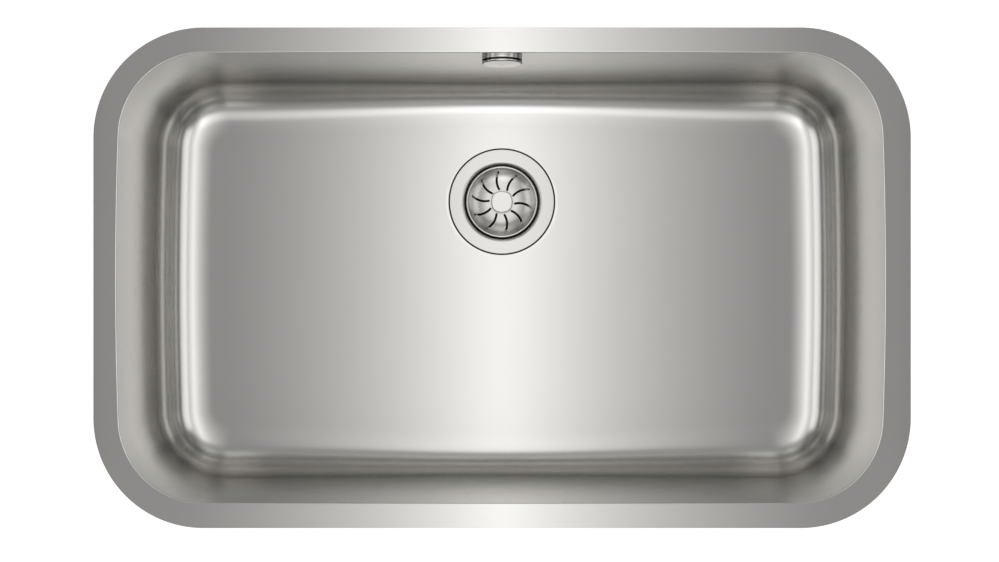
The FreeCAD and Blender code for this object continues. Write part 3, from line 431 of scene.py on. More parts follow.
@dataclass(frozen=True)
class Thread:
    """A thread round an upright axis, as a bump: it is cut where no more than its height shows.

    Low and high are heights over the centre, and nothing nearer to the axis than inner_r is cut.
    """

    centre: Point
    pitch: float
    low: float
    high: float
    inner_r: float
    depth: float = 0.0011

    def cut(self, bench: Bench) -> None:
        """Adds the thread to a material.

        The turn at a point is its height over the pitch plus its bearing over a full turn, and the
        flank rises from the root at a whole turn to the crest at a half.

        Args:
            bench: The material.
        """
        distance, height = bench.axis_place(self.centre, UPWARDS)
        offset = bench.place((1.0, 1.0, 1.0), about=self.centre)
        split = bench.add("ShaderNodeSeparateXYZ", Vector=offset)
        bearing = bench.figure("ARCTAN2", split.outputs["Y"], split.outputs["X"])
        turn = bench.figure("ADD", bench.figure("DIVIDE", height, self.pitch),
                            bench.figure("DIVIDE", bearing, 2 * math.pi))
        flank = bench.figure("PINGPONG", turn, 0.5)
        for limit in (bench.figure("GREATER_THAN", height, self.low),
                      bench.figure("LESS_THAN", height, self.high),
                      bench.figure("GREATER_THAN", distance, self.inner_r)):
            flank = bench.figure("MULTIPLY", flank, limit)
        bench.bump(flank, self.depth)


@dataclass(frozen=True)
class MouldedFinish:
    """Moulded plastic or rubber: a matt skin with fine texture and a cloudy colour."""

    name: str
    colour: Colour
    roughness: float
    texture_size: float = 0.0008
    texture_depth: float = 0.00003
    mottle: float = 0.08
    thread: Thread | None = None
    cloud_scale: Point = (28.0, 28.0, 28.0)
    gloss_range: float = 0.12

    def make(self) -> bpy.types.Material:
        """Builds the material: the mould's fine texture and slow changes of colour and gloss."""
        bench = Bench(self.name, self.colour, 0.0, self.roughness)
        grit_scale = 1.0 / self.texture_size
        grit = bench.noise(bench.place((grit_scale, grit_scale, grit_scale)), detail=3.0)
        cloud = bench.noise(bench.place(self.cloud_scale), detail=4.0)
        tone = bench.spread(cloud, 0.0, 1.0)
        bench.vary(self.colour, tone, self.mottle, self.roughness, grit, self.gloss_range)
        bench.bump(grit, self.texture_depth)
        if self.thread:
            self.thread.cut(bench)
        return bench.material


def metals() -> dict[str, SteelFinish]:
    """Steel and brass. Shade is painted black into the deep gaps round the waste's flange and under the
    cap.
    """
    # painted shade: the bowl's recess round the waste's flange is blackened, fading out past its edge
    flange_gap_shade = PaintedShade(ON_WASTE_FLOOR, UPWARDS, (0.0505, 0.0566, 0.0571), 0.0005)
    # painted shade: the inside of the overflow cap and of its base ring is blackened
    under_cap_shade = PaintedShade(ON_OVERFLOW, OUT_OF_WALL, (-1.0, 0.0192, 0.0193), 0.0062)
    # painted shade: the band round the water gap between cap and base ring is blackened
    water_gap_shade = PaintedShade(ON_OVERFLOW, OUT_OF_WALL, (-1.0, 0.021, 0.0211), 0.0048, bottom=0.0026)
    return {
        "brushed": SteelFinish("brushed_steel", (0.62, 0.609, 0.587), 0.21, Grain.LENGTHWISE,
                               stretch=0.5, line_depth=1.2e-6, wave_depth=2e-5, dark=(flange_gap_shade,)),
        "underside": SteelFinish("mill_steel", (0.55, 0.55, 0.54), 0.46, Grain.NONE,
                                 line_depth=4e-6, wave_depth=4e-5),
        "spun": SteelFinish("spun_steel", (0.605, 0.597, 0.577), 0.27, Grain.ROUND, line_depth=1e-6),
        "satin": SteelFinish("satin_steel", (0.55, 0.543, 0.525), 0.24, Grain.ROUND),
        "polished": SteelFinish("polished_steel", (0.53, 0.524, 0.509), 0.13, Grain.NONE,
                                wave_depth=4e-6),
        "cap": SteelFinish("cap_steel", (0.57, 0.563, 0.548), 0.17, Grain.NONE, wave_depth=4e-6,
                           dark=(under_cap_shade, water_gap_shade)),
        "brass": SteelFinish("brass", (0.62, 0.45, 0.2), 0.3, Grain.NONE, line_depth=3e-6),
    }


def plastics() -> dict[str, MouldedFinish]:
    """Rubber and moulded plastic. The waste body's outlet carries a pipe thread."""
    outlet = Thread(ON_WASTE_FLOOR, pitch=0.002309, low=-0.0975, high=-0.0745, inner_r=0.0225)
    body = MouldedFinish("body_plastic", (0.76, 0.765, 0.755), 0.42, texture_depth=1.5e-5)
    return {
        "seal": MouldedFinish("seal_rubber", (0.03, 0.03, 0.032), 0.62),
        "pad": MouldedFinish("pad_rubber", (0.11, 0.112, 0.115), 0.85, texture_size=0.0025,
                             texture_depth=2.5e-4, mottle=0.18),
        "body": body,
        "threaded": replace(body, name="threaded_plastic", thread=outlet),
        "hose": MouldedFinish("hose_plastic", (0.42, 0.43, 0.44), 0.38, texture_depth=1e-5),
        "sleeve": MouldedFinish("sleeve_nylon", (0.72, 0.70, 0.64), 0.45),
    }


class SubAssembly:
    """A part of the sink. Packed lists the pieces that keep their shape, under their finish's name."""

    finishes: Made
    packed: dict[str, tuple[str, ...]] = {}

    def build(self) -> None:
        """Makes the pieces that have a mesh of their own. Most parts have none."""

    def dress(self, nodes: dict[str, bpy.types.Object]) -> None:
        """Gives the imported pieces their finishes.

        Args:
            nodes: The frame's pieces by name.
        """
        for finish, names in self.packed.items():
            material = self.finishes[finish]
            for name in names:
                mesh = nodes[name].data
                mesh.materials.clear()
                mesh.materials.append(material)
                LOG.info("packed piece %s: %s", name, material.name)


# ------------------------------------------------------------------------------------ bowl
@dataclass(frozen=True)
class BowedOutline:
    """A rounded rectangle whose sides swell outwards, all in arcs that run into each other.

    The outward normal's angle runs on without a break, so a point of the outline is the centre of
    its arc plus the arc's radius times the unit vector at that angle.
    """

    length: float
    width: float
    corner_r: float
    short_bow: float
    long_bow: float
    shift_x: float = 0.0

    def centres(self) -> tuple[float, float, Array, Array, Array]:
        """Radii of the short and the long sides, their centres, and the corner's centre."""
        half_x = self.length / 2
        half_y = self.width / 2
        short_r = ((half_y - self.corner_r) ** 2 + self.short_bow**2) / (2 * self.short_bow)
        long_r = ((half_x - self.corner_r) ** 2 + self.long_bow**2) / (2 * self.long_bow)
        short_centre = np.array([half_x - short_r, 0.0])
        long_centre = np.array([0.0, half_y - long_r])
        span = long_centre - short_centre
        distance = float(np.hypot(*span))
        reach_a = short_r - self.corner_r
        reach_b = long_r - self.corner_r
        along = (distance**2 + reach_a**2 - reach_b**2) / (2 * distance)
        aside = math.sqrt(reach_a**2 - along**2)
        unit = span / distance
        normal = np.array([-unit[1], unit[0]])
        either = [short_centre + unit * along + normal * (side * aside) for side in (1, -1)]
        return short_r, long_r, short_centre, long_centre, max(either, key=sum)

    def sample(self, steps: tuple[int, int, int]) -> tuple[Array, Array]:
        """Points and outward normals round the outline, from +X through +Y.

        Args:
            steps: Points on half a short side, on a corner and on half a long side.

        Returns:
            Points and normals, one row each, in millimetres.
        """
        short_r, long_r, short_centre, long_centre, corner = self.centres()
        short_turn = math.atan2(*(corner - short_centre)[::-1])
        long_turn = math.atan2(*(corner - long_centre)[::-1])
        arcs = (
            (0.0, short_turn, steps[0], short_centre, short_r),
            (short_turn, long_turn, steps[1], corner, self.corner_r),
            (long_turn, math.pi / 2, steps[2], long_centre, long_r),
        )
        points = []
        normals = []
        for start, end, count, centre, radius in arcs:
            turn = np.linspace(start, end, count, endpoint=False)
            unit = np.stack([np.cos(turn), np.sin(turn)], axis=-1)
            points.append(centre + radius * unit)
            normals.append(unit)
        quarter = np.concatenate([*points, [[0.0, self.width / 2]]])
        facing = np.concatenate([*normals, [[0.0, 1.0]]])
        flips = ((1, 1, 1), (-1, 1, -1), (-1, -1, 1), (1, -1, -1))
        outline, outward = (np.concatenate([values[::order][:-1] * (x, y) for x, y, order in flips])
                            for values in (quarter, facing))
        return outline + (self.shift_x, 0.0), outward


@dataclass(frozen=True)
class Stations:
    """Where the parts of the sheet start, as numbers of its rings."""

    inner_wall: int
    inner_foot: int
    outside: int
    outer_foot: int
    outer_wall: int


@dataclass
class Bowl(SubAssembly):
    """The pressed sheet, with flange, wide floor fillet, recess and overflow hole, and its pad."""

    packed = {"pad": ("sound_pad",)}
    finishes: Made
    sheet: float = 1.0
    flange: BowedOutline = BowedOutline(787.0, 482.0, 106.0, 1e-3, 1e-3)
    opening: BowedOutline = BowedOutline(740.0, OPENING_WIDTH, 81.5, 2.4, 0.5, -1.5)
    fillet_r: float = 52.0
    fillet_middle_r: float = 40.0
    fall: float = math.tan(math.radians(0.35))
    rim_bend_r: float = 1.6
    edge_break: float = 0.15
    recess_r: float = 56.4
    recess_depth: float = 2.2
    recess_edge_r: float = 0.8
    recess_foot_bend: float = 0.2
    recess_under_bend: float = 0.3
    recess_middle_r: tuple[float, float] = (50.0, 51.0)
    hole_r: float = 45.0
    hole_break: float = 0.1
    overflow_r: float = 16.5
    window_reach: float = 25.0
    window_levels: tuple[float, float] = (4.0, 52.0)
    outline_steps: tuple[int, int, int] = (16, 40, 48)
    bend_steps: int = 7
    wall_steps: int = 17
    inside_steps: tuple[int, int] = (28, 26)
    outside_steps: tuple[int, int] = (16, 14)
    recess_edge_steps: int = 5
    patch_steps: int = 5
    fillet_rounds: int = 3
    rim_shares: tuple[float, ...] = (0.0, 0.012)
    first_wall_share: float = 0.03
    flange_shares: tuple[float, ...] = (0.0, 0.03, 0.3, 0.6, 0.97)
    under_shares: tuple[float, ...] = (0.4, 0.97, 1.0)
    floor_crowding: float = 1.35
    hole_shrink: float = 0.55
    facing_back: float = 0.9

    def __post_init__(self) -> None:
        """Samples both outlines and solves the floor fillet at each place round them."""
        self.outer, self.outer_normal = self.flange.sample(self.outline_steps)
        self.edge, self.normal = self.opening.sample(self.outline_steps)
        self.waste = np.array([0.0, WASTE_Y])
        reach = self.opening.length / 2 - self.opening.corner_r
        share = np.abs(self.edge[:, 0] - self.opening.shift_x) / reach
        on_long = np.abs(self.normal[:, 1]) > np.abs(self.normal[:, 0])
        widened = self.fillet_middle_r + (self.fillet_r - self.fillet_middle_r) * smooth_step(share)
        self.radius = np.where(on_long & (share < 1), widened, self.fillet_r)
        self.solve_fillet()

    def floor_height(self, flat: Array) -> Array:
        """Height of the floor: it rises by the fall from the recess's edge outwards."""
        distance = np.hypot(*(flat - self.waste).T)
        return -BOWL_DEPTH + self.fall * np.maximum(distance - self.recess_r, 0.0)

    def solve_fillet(self) -> None:
        """Finds the fillet's centre at each place, in the section square to the outline.

        With s the way in from the outline's edge, the wall is the line s cos d + z sin d = 0, and
        the floor near the foot of the fillet is z = z0 + m (s - s0). The centre lies one radius
        off both lines. Its foot gives a better s0, so a few rounds settle it.
        """
        cos_d = math.cos(WALL_DRAFT)
        sin_d = math.sin(WALL_DRAFT)
        foot = self.radius + BOWL_DEPTH * math.tan(WALL_DRAFT)
        for _ in range(self.fillet_rounds):
            place = self.edge - foot[:, None] * self.normal
            ahead = self.edge - (foot[:, None] + 1.0) * self.normal
            height = self.floor_height(place)
            slope = self.floor_height(ahead) - height
            level = self.radius * np.hypot(1.0, slope) + height - slope * foot
            centre_s = (self.radius - level * sin_d) / (cos_d + slope * sin_d)
            centre_z = level + slope * centre_s
            foot = centre_s + self.radius * slope / np.hypot(1.0, slope)
        self.centre_s = centre_s
        self.centre_z = centre_z
        self.foot_turn = 1.5 * math.pi + np.arctan(slope)

    def ring(self, way_in: Array | float, height: Array | float) -> Array:
        """One ring of points at a way in from the opening's edge and at a height."""
        count = len(self.edge)
        flat = self.edge - np.broadcast_to(way_in, count)[:, None] * self.normal
        return np.column_stack([flat, np.broadcast_to(height, count)])

    def outer_ring(self, inset: float, height: float) -> Array:
        """One ring of points along the flange's outer edge."""
        flat = self.outer - inset * self.outer_normal
        return np.column_stack([flat, np.full(len(flat), height)])

    def round_waste(self, radius: float, height: Array | float) -> Array:
        """One ring round the waste, each point in the direction of its place on the fillet's foot."""
        foot = self.foot_ring[:, :2] - self.waste
        unit = foot / np.hypot(*foot.T)[:, None]
        return np.column_stack([self.waste + radius * unit, np.broadcast_to(height, len(unit))])

    def fillet_ring(self, share: float, grow: float) -> Array:
        """A ring on the floor fillet, from the wall at 0 to the floor at 1, grown by the sheet."""
        start = math.pi + WALL_DRAFT
        turn = start + (self.foot_turn - start) * share
        radius = self.radius + grow
        return self.ring(self.centre_s + radius * np.cos(turn), self.centre_z + radius * np.sin(turn))

    def bend_rings(self, radius: float) -> list[Array]:
        """Rings of a bend between flange and wall about the rim bend's centre.

        The centre lies one bend radius under the flange's top face and one off the wall, and the
        bend turns from straight up to the wall's own normal.
        """
        centre = -self.rim_bend_r * (1 - math.sin(WALL_DRAFT)) / math.cos(WALL_DRAFT)
        turns = np.linspace(math.pi / 2, WALL_DRAFT, self.bend_steps)
        return [self.ring(centre + radius * math.cos(turn), -self.rim_bend_r + radius * math.sin(turn))
                for turn in turns]

    def face_rings(self, grow: float, fillet: int, floor: int) -> tuple[list[Array], int, int]:
        """Rings of one face of the sheet, from the rim bend down to the recess's edge.

        Args:
            grow: 0 for the face inside the bowl, the sheet's thickness for the one outside.
            fillet: Steps on the floor fillet.
            floor: Steps on the floor.

        Returns:
            The rings, and the index of the wall's first ring and of the fillet's foot.
        """
        bend = self.bend_rings(self.rim_bend_r - grow)
        top = bend[-1]
        corner = self.fillet_ring(0.0, grow)
        rings = bend + [top + (corner - top) * share for share in self.wall_shares[1:]]
        rings += [self.fillet_ring(share, grow) for share in np.linspace(0, 1, fillet + 1)[1:]]
        foot_index = len(rings) - 1
        foot = rings[-1]
        self.foot_ring = foot
        inner = self.round_waste(self.recess_r + (self.recess_edge_r if grow == 0 else self.sheet), 0.0)
        for share in 1 - (1 - np.linspace(0, 1, floor + 1)[1:]) ** self.floor_crowding:
            flat = foot[:, :2] + (inner[:, :2] - foot[:, :2]) * share
            rings.append(np.column_stack([flat, self.floor_height(flat) - grow]))
        return rings, len(bend) - 1, foot_index

    @property
    def wall_shares(self) -> Array:
        """Shares of the wall's height for its rings, close together under the rim."""
        below = np.linspace(self.first_wall_share, 1.0, self.wall_steps)
        return np.concatenate([self.rim_shares, below])

    def recess_rings(self) -> list[Array]:
        """Rings from the recess's rounded edge through the hole and back out under the floor."""
        edge_r = self.recess_r + self.recess_edge_r
        turns = np.linspace(math.pi / 2, math.pi, self.recess_edge_steps + 1)[1:]
        rings = [self.round_waste(edge_r + self.recess_edge_r * math.cos(turn),
                                  -BOWL_DEPTH - self.recess_edge_r * (1 - math.sin(turn)))
                 for turn in turns]
        deep = -BOWL_DEPTH - self.recess_depth
        under = deep - self.sheet
        foot = self.recess_foot_bend
        outer_r = self.recess_r + self.sheet
        middle, under_middle = self.recess_middle_r
        bend = self.recess_under_bend
        under_floor = -BOWL_DEPTH - self.sheet - self.hole_break
        steps = ((self.recess_r, deep + foot), (self.recess_r, deep), (self.recess_r - foot, deep),
                 (middle, deep), (self.hole_r + foot, deep), (self.hole_r, deep - self.hole_break),
                 (self.hole_r, under), (under_middle, under), (outer_r - bend, under),
                 (outer_r, under + bend), (outer_r, under_floor))
        return rings + [self.round_waste(radius, height) for radius, height in steps]

    def unfold(self, rings: Array, foot: int) -> Array:
        """Lays the rings out flat: the floor as it is, and the rest rolled outwards from its foot.

        A point beyond the foot lands at its foot plus the outline's normal times the length of the
        profile between them.
        """
        gaps = np.linalg.norm(np.diff(rings[: foot + 1], axis=0), axis=2)
        lengths = np.zeros(rings.shape[:2])
        lengths[:foot] = np.cumsum(gaps[::-1], axis=0)[::-1]
        flat = rings[:, :, :2].copy()
        flat[:foot] = rings[foot, :, :2] + lengths[:foot, :, None] * self.normal
        return flat * MM

    def window(self, first_wall: int, levels: Array) -> tuple[Array, Array]:
        """The grid cells that give way to the overflow's hole.

        Args:
            first_wall: Station of the wall's first ring.
            levels: Height of each ring of the wall at the middle of the back.

        Returns:
            Stations and places of the window's border points, once round.
        """
        on_back = self.normal[:, 1] > self.facing_back
        near = np.flatnonzero((np.abs(self.edge[:, 0]) < self.window_reach) & on_back)
        rows = np.flatnonzero((levels < -self.window_levels[0]) & (levels > -self.window_levels[1]))
        rows = rows + first_wall
        low, high = rows[0], rows[-1]
        left, right = near[0], near[-1]
        stations = np.concatenate([np.full(right - left, low), np.arange(low, high),
                                   np.full(right - left, high), np.arange(high, low, -1)])
        places = np.concatenate([np.arange(left, right), np.full(high - low, right),
                                 np.arange(right, left, -1), np.full(high - low, left)])
        return stations, places

    def hole_patch(self, border: Array, depth: float) -> Array:
        """Rings that shrink from the window's border to the overflow's hole.

        Each border point runs straight to the point of the circle that lies in its direction from
        the hole's centre.

        Args:
            border: Border points on one face of the sheet.
            depth: How far that face lies behind the bowl's inner face.

        Returns:
            Rings without the border itself, the last one on the hole.
        """
        across = np.array([1.0, 0.0, 0.0])
        up = np.array([0.0, math.sin(WALL_DRAFT), math.cos(WALL_DRAFT)])
        centre = np.array(ON_OVERFLOW) / MM - depth * np.array(OUT_OF_WALL)
        away = border - centre
        turn = np.arctan2(away @ up, away @ across)[:, None]
        circle = centre + self.overflow_r * (np.cos(turn) * across + np.sin(turn) * up)
        return border + (circle - border) * self.patch_shares

    @property
    def patch_shares(self) -> Array:
        """Shares of the way from the window's border to the overflow's hole, one for each ring."""
        return np.linspace(0, 1, self.patch_steps + 1)[1:, None, None]

    def sheet_rings(self) -> tuple[Array, Stations]:
        """All rings of the closed sheet, from the flange's edge round both faces and back to it.

        They run in over the flange's top, down the inside, through the recess and the waste's hole,
        up the outside, and out under the flange to its edge.

        Returns:
            The rings, and where their parts start.
        """
        inside, inside_wall, inside_foot = self.face_rings(0.0, *self.inside_steps)
        recess = self.recess_rings()
        outside, outside_wall, outside_foot = self.face_rings(self.sheet, *self.outside_steps)
        top_edge = self.outer_ring(self.edge_break, 0.0)
        top = [top_edge + (inside[0] - top_edge) * share for share in self.flange_shares]
        under_edge = self.outer_ring(self.edge_break, -self.sheet)
        under = [outside[0] + (under_edge - outside[0]) * share for share in self.under_shares]
        levels = (self.edge_break - self.sheet, -self.edge_break)
        side = [self.outer_ring(0.0, level) for level in levels]
        rings = np.array(top + inside + recess + outside[::-1] + under + side)
        outer_start = len(top) + len(inside) + len(recess)
        outer_end = outer_start + len(outside) - 1
        marks = Stations(len(top) + inside_wall, len(top) + inside_foot, outer_start,
                         outer_end - outside_foot, outer_end - outside_wall)
        return rings, marks

    def unfold_both(self, rings: Array, marks: Stations) -> Array:
        """Lays both faces of the sheet out flat, each from its own foot.

        Args:
            rings: All rings of the sheet.
            marks: Where their parts start.

        Returns:
            Flat place of each point in metres.
        """
        flat_inside = self.unfold(rings[:marks.outside], marks.inner_foot)
        reversed_outside = rings[marks.outside:][::-1]
        foot = len(reversed_outside) - 1 - (marks.outer_foot - marks.outside)
        flat_outside = self.unfold(reversed_outside, foot)[::-1]
        return np.concatenate([flat_inside, flat_outside]).reshape(-1, 2)

    def pierce(self, rings: Array, unfolded: Array,
               marks: Stations) -> tuple[Array, Array, Array, Array]:
        """Turns the rings into faces and cuts the overflow's hole through both faces of the sheet.

        Args:
            rings: All rings of the sheet.
            unfolded: Flat place of each point.
            marks: Where the rings' parts start.

        Returns:
            Points, quads, flat places, and for each quad whether it lies outside the bowl.
        """
        stations, around = rings.shape[:2]
        on_back = self.normal[:, 1] > self.facing_back
        middle = int(np.argmin(np.where(on_back, np.abs(self.edge[:, 0]), np.inf)))
        wall_end = marks.inner_wall + len(self.wall_shares)
        border_in = self.window(marks.inner_wall, rings[marks.inner_wall:wall_end, middle, 2])
        mirror = marks.inner_wall + marks.outer_wall
        border_out = (mirror - border_in[0], border_in[1])
        keep = np.ones((stations, around), bool)
        for rows in (border_in[0], border_out[0]):
            keep[rows.min():rows.max(), border_in[1].min():border_in[1].max()] = False
        outside = np.broadcast_to(np.arange(stations)[:, None] >= marks.outside, keep.shape)
        faces = [wrapped_quads(stations, around, True).reshape(stations, around, 4)[keep]]
        dull = [outside[keep]]
        points = [rings.reshape(-1, 3)]
        flats = [unfolded]
        total = stations * around
        rims = []
        for (row, place), depth, is_out in ((border_in, 0.0, False), (border_out, self.sheet, True)):
            border = row * around + place
            patch = self.hole_patch(rings[row, place], depth)
            count = patch.shape[0] * len(border)
            index = np.concatenate([border[None], total + np.arange(count).reshape(-1, len(border))])
            faces.append(np.stack([index[:-1], np.roll(index[:-1], -1, 1), np.roll(index[1:], -1, 1),
                                   index[1:]], -1).reshape(-1, 4))
            dull.append(np.full(count, is_out))
            centre = unfolded[border].mean(0)
            flat = centre + (unfolded[border] - centre) * (1 - self.hole_shrink * self.patch_shares)
            flats.append(flat.reshape(-1, 2))
            points.append(patch.reshape(-1, 3))
            rims.append(index[-1])
            total += count
        front, behind = rims
        faces.append(np.stack([front, np.roll(front, -1), np.roll(behind, -1), behind], -1))
        dull.append(np.zeros(len(front), bool))
        return tuple(np.concatenate(parts) for parts in (points, faces, flats, dull))

    def build(self) -> None:
        """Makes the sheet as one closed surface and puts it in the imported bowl's place."""
        rings, marks = self.sheet_rings()
        points, faces, flats, dull = self.pierce(rings, self.unfold_both(rings, marks), marks)
        piece = piece_from_grid("bowl_sheet", points, faces, "sink", flats)
        piece.data.materials.append(self.finishes["brushed"])
        piece.data.materials.append(self.finishes["underside"])
        piece.data.polygons.foreach_set("material_index", dull.astype(np.int32))
        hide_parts("bowl")
        LOG.info("bowl_sheet: %d faces", len(piece.data.polygons))


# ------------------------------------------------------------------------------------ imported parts
@dataclass
class Waste(SubAssembly):
    """The waste under the floor: steel cup, seals, moulded body, screw and insert."""

    packed = {
        "spun": ("waste_cup",),
        "seal": ("flange_seal", "body_seal"),
        "threaded": ("waste_body",),
        "polished": ("centre_screw",),
        "brass": ("insert_nut",),
    }
    finishes: Made


@dataclass
class Strainer(SubAssembly):
    """The lifting basket with its knob, stem and stopper, and the sleeve that it turns on."""

    packed = {
        "satin": ("basket",),
        "polished": ("knob", "stem", "stopper_washer", "stem_nut"),
        "seal": ("stopper_seal", "detent_ring"),
        "sleeve": ("detent_sleeve",),
    }
    finishes: Made


@dataclass
class Overflow(SubAssembly):
    """The overflow on the back wall: base ring, round cap, screw, seal and moulded elbow."""

    packed = {
        "cap": ("overflow_base", "overflow_cap"),
        "polished": ("overflow_screw",),
        "seal": ("overflow_seal",),
        "body": ("overflow_elbow",),
        "brass": ("overflow_insert",),
    }
    finishes: Made


@dataclass
class Hose(SubAssembly):
    """The ribbed hose from the overflow's elbow down to the waste body's inlet, and its joints."""

    packed = {
        "polished": ("hose_clamp", "clamp_screw"),
        "seal": ("cone_seal",),
        "body": ("inlet_nut",),
    }
    finishes: Made
    route: tuple[Point, ...] = (
        (0.0, 227.983, -52.517),
        (0.0, 220.935, -148.49),
        (0.0, 214.876, -231.0),
        (0.0, 155.0, -231.0),
        (0.0, 146.0, -231.0),
    )
    bore_r: float = 9.6
    valley_r: float = 10.8
    crest_r: float = 12.5
    cuff_r: float = 12.0
    top_cuff: float = 24.5
    bottom_cuff: float = 27.5
    rib_pitch: float = 4.0
    rib_flatness: float = 2.2
    around: int = 48
    stations: int = 660
    bore_stride: int = 6

    def line(self, count: int) -> tuple[Array, Array]:
        """Points and headings at even steps along the route's smooth spline.

        Args:
            count: Number of points.

        Returns:
            Points in millimetres and unit headings, one row each.
        """
        curve = bpy.data.curves.new("hose_route", "CURVE")
        curve.dimensions = "3D"
        curve.resolution_u = 64
        spline = curve.splines.new("NURBS")
        spline.points.add(len(self.route) - 1)
        flat = np.column_stack([np.array(self.route), np.ones(len(self.route))])
        spline.points.foreach_set("co", flat.ravel())
        spline.order_u = 3
        spline.use_endpoint_u = True
        carrier = bpy.data.objects.new("hose_route", curve)
        drawn = bpy.data.meshes.new_from_object(carrier)
        points = np.zeros(len(drawn.vertices) * 3)
        drawn.vertices.foreach_get("co", points)
        bpy.data.objects.remove(carrier)
        bpy.data.curves.remove(curve)
        bpy.data.meshes.remove(drawn)
        points = points.reshape(-1, 3)
        travelled = np.concatenate([[0], np.cumsum(np.linalg.norm(np.diff(points, axis=0), axis=1))])
        self.length = travelled[-1]
        even = np.linspace(0, self.length, count)
        smooth = np.column_stack([np.interp(even, travelled, points[:, axis]) for axis in range(3)])
        heading = np.gradient(smooth, axis=0)
        return smooth, heading / np.linalg.norm(heading, axis=1)[:, None]

    def rib_profile(self, distance: Array) -> Array:
        """Outside radius at a distance along the hose.

        Between the plain cuffs the radius swings from valley to crest as a cosine that is
        flattened by a tanh, once for every rib.
        """
        start = self.top_cuff
        end = self.length - self.bottom_cuff
        ribs = round((end - start) / self.rib_pitch)
        phase = (distance - start) / (end - start) * ribs * 2 * math.pi
        swing = np.tanh(-self.rib_flatness * np.cos(phase)) / math.tanh(self.rib_flatness)
        ribbed = (self.crest_r + self.valley_r) / 2 + (self.crest_r - self.valley_r) / 2 * swing
        return np.where((distance < start) | (distance > end), self.cuff_r, ribbed)

    def build(self) -> None:
        """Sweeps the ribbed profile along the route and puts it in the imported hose's place.

        A ring's points are its centre plus the radius times cos(a) across, along X, and sin(a)
        upright to the heading. The bore follows inside, and the ends are closed by flat rings.
        """
        centres, headings = self.line(self.stations)
        distance = np.linspace(0, self.length, self.stations)
        radius = self.rib_profile(distance)
        turn = np.linspace(0, 2 * math.pi, self.around, endpoint=False)
        across = np.array([1.0, 0.0, 0.0])
        upright = np.cross(headings, across)
        cosine, sine = (wave(turn)[None, :, None] for wave in (np.cos, np.sin))
        circle = cosine * across + sine * upright[:, None, :]
        outside = centres[:, None, :] + radius[:, None, None] * circle
        bore = centres[::self.bore_stride, None, :] + self.bore_r * circle[::self.bore_stride]
        rings = np.concatenate([outside, bore[::-1]])
        faces = wrapped_quads(len(rings), self.around, True)
        piece = piece_from_grid("ribbed_hose", rings.reshape(-1, 3), faces, "sink",
                                sharp_angle=50.0)
        piece.data.materials.append(self.finishes["hose"])
        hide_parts("overflow_hose")
        LOG.info("ribbed_hose: %.0f mm long", self.length)


# ------------------------------------------------------------------------------------ studio
@dataclass(frozen=True)
class SoftBox:
    """An even rectangle of light that looks at a point, with a given brightness."""

    name: str
    centre: Point
    size: tuple[float, float]
    brightness: float
    looks_at: Point

    def place(self) -> bpy.types.Object:
        """Sets the light up. Its power is brightness times pi times its area."""
        lamp = bpy.data.lights.new(self.name, "AREA")
        lamp.shape = "RECTANGLE"
        lamp.size, lamp.size_y = self.size
        lamp.energy = self.brightness * math.pi * self.size[0] * self.size[1]
        holder = bpy.data.objects.new(self.name, lamp)
        bpy.context.scene.collection.objects.link(holder)
        aim = np.array(self.looks_at) - np.array(self.centre)
        flat = math.hypot(aim[0], aim[1])
        tilt = math.atan2(flat, -aim[2])
        heading = math.atan2(-aim[0], aim[1])
        holder.location = self.centre
        holder.rotation_euler = (tilt, 0.0, heading)
        holder.visible_camera = False
        return holder


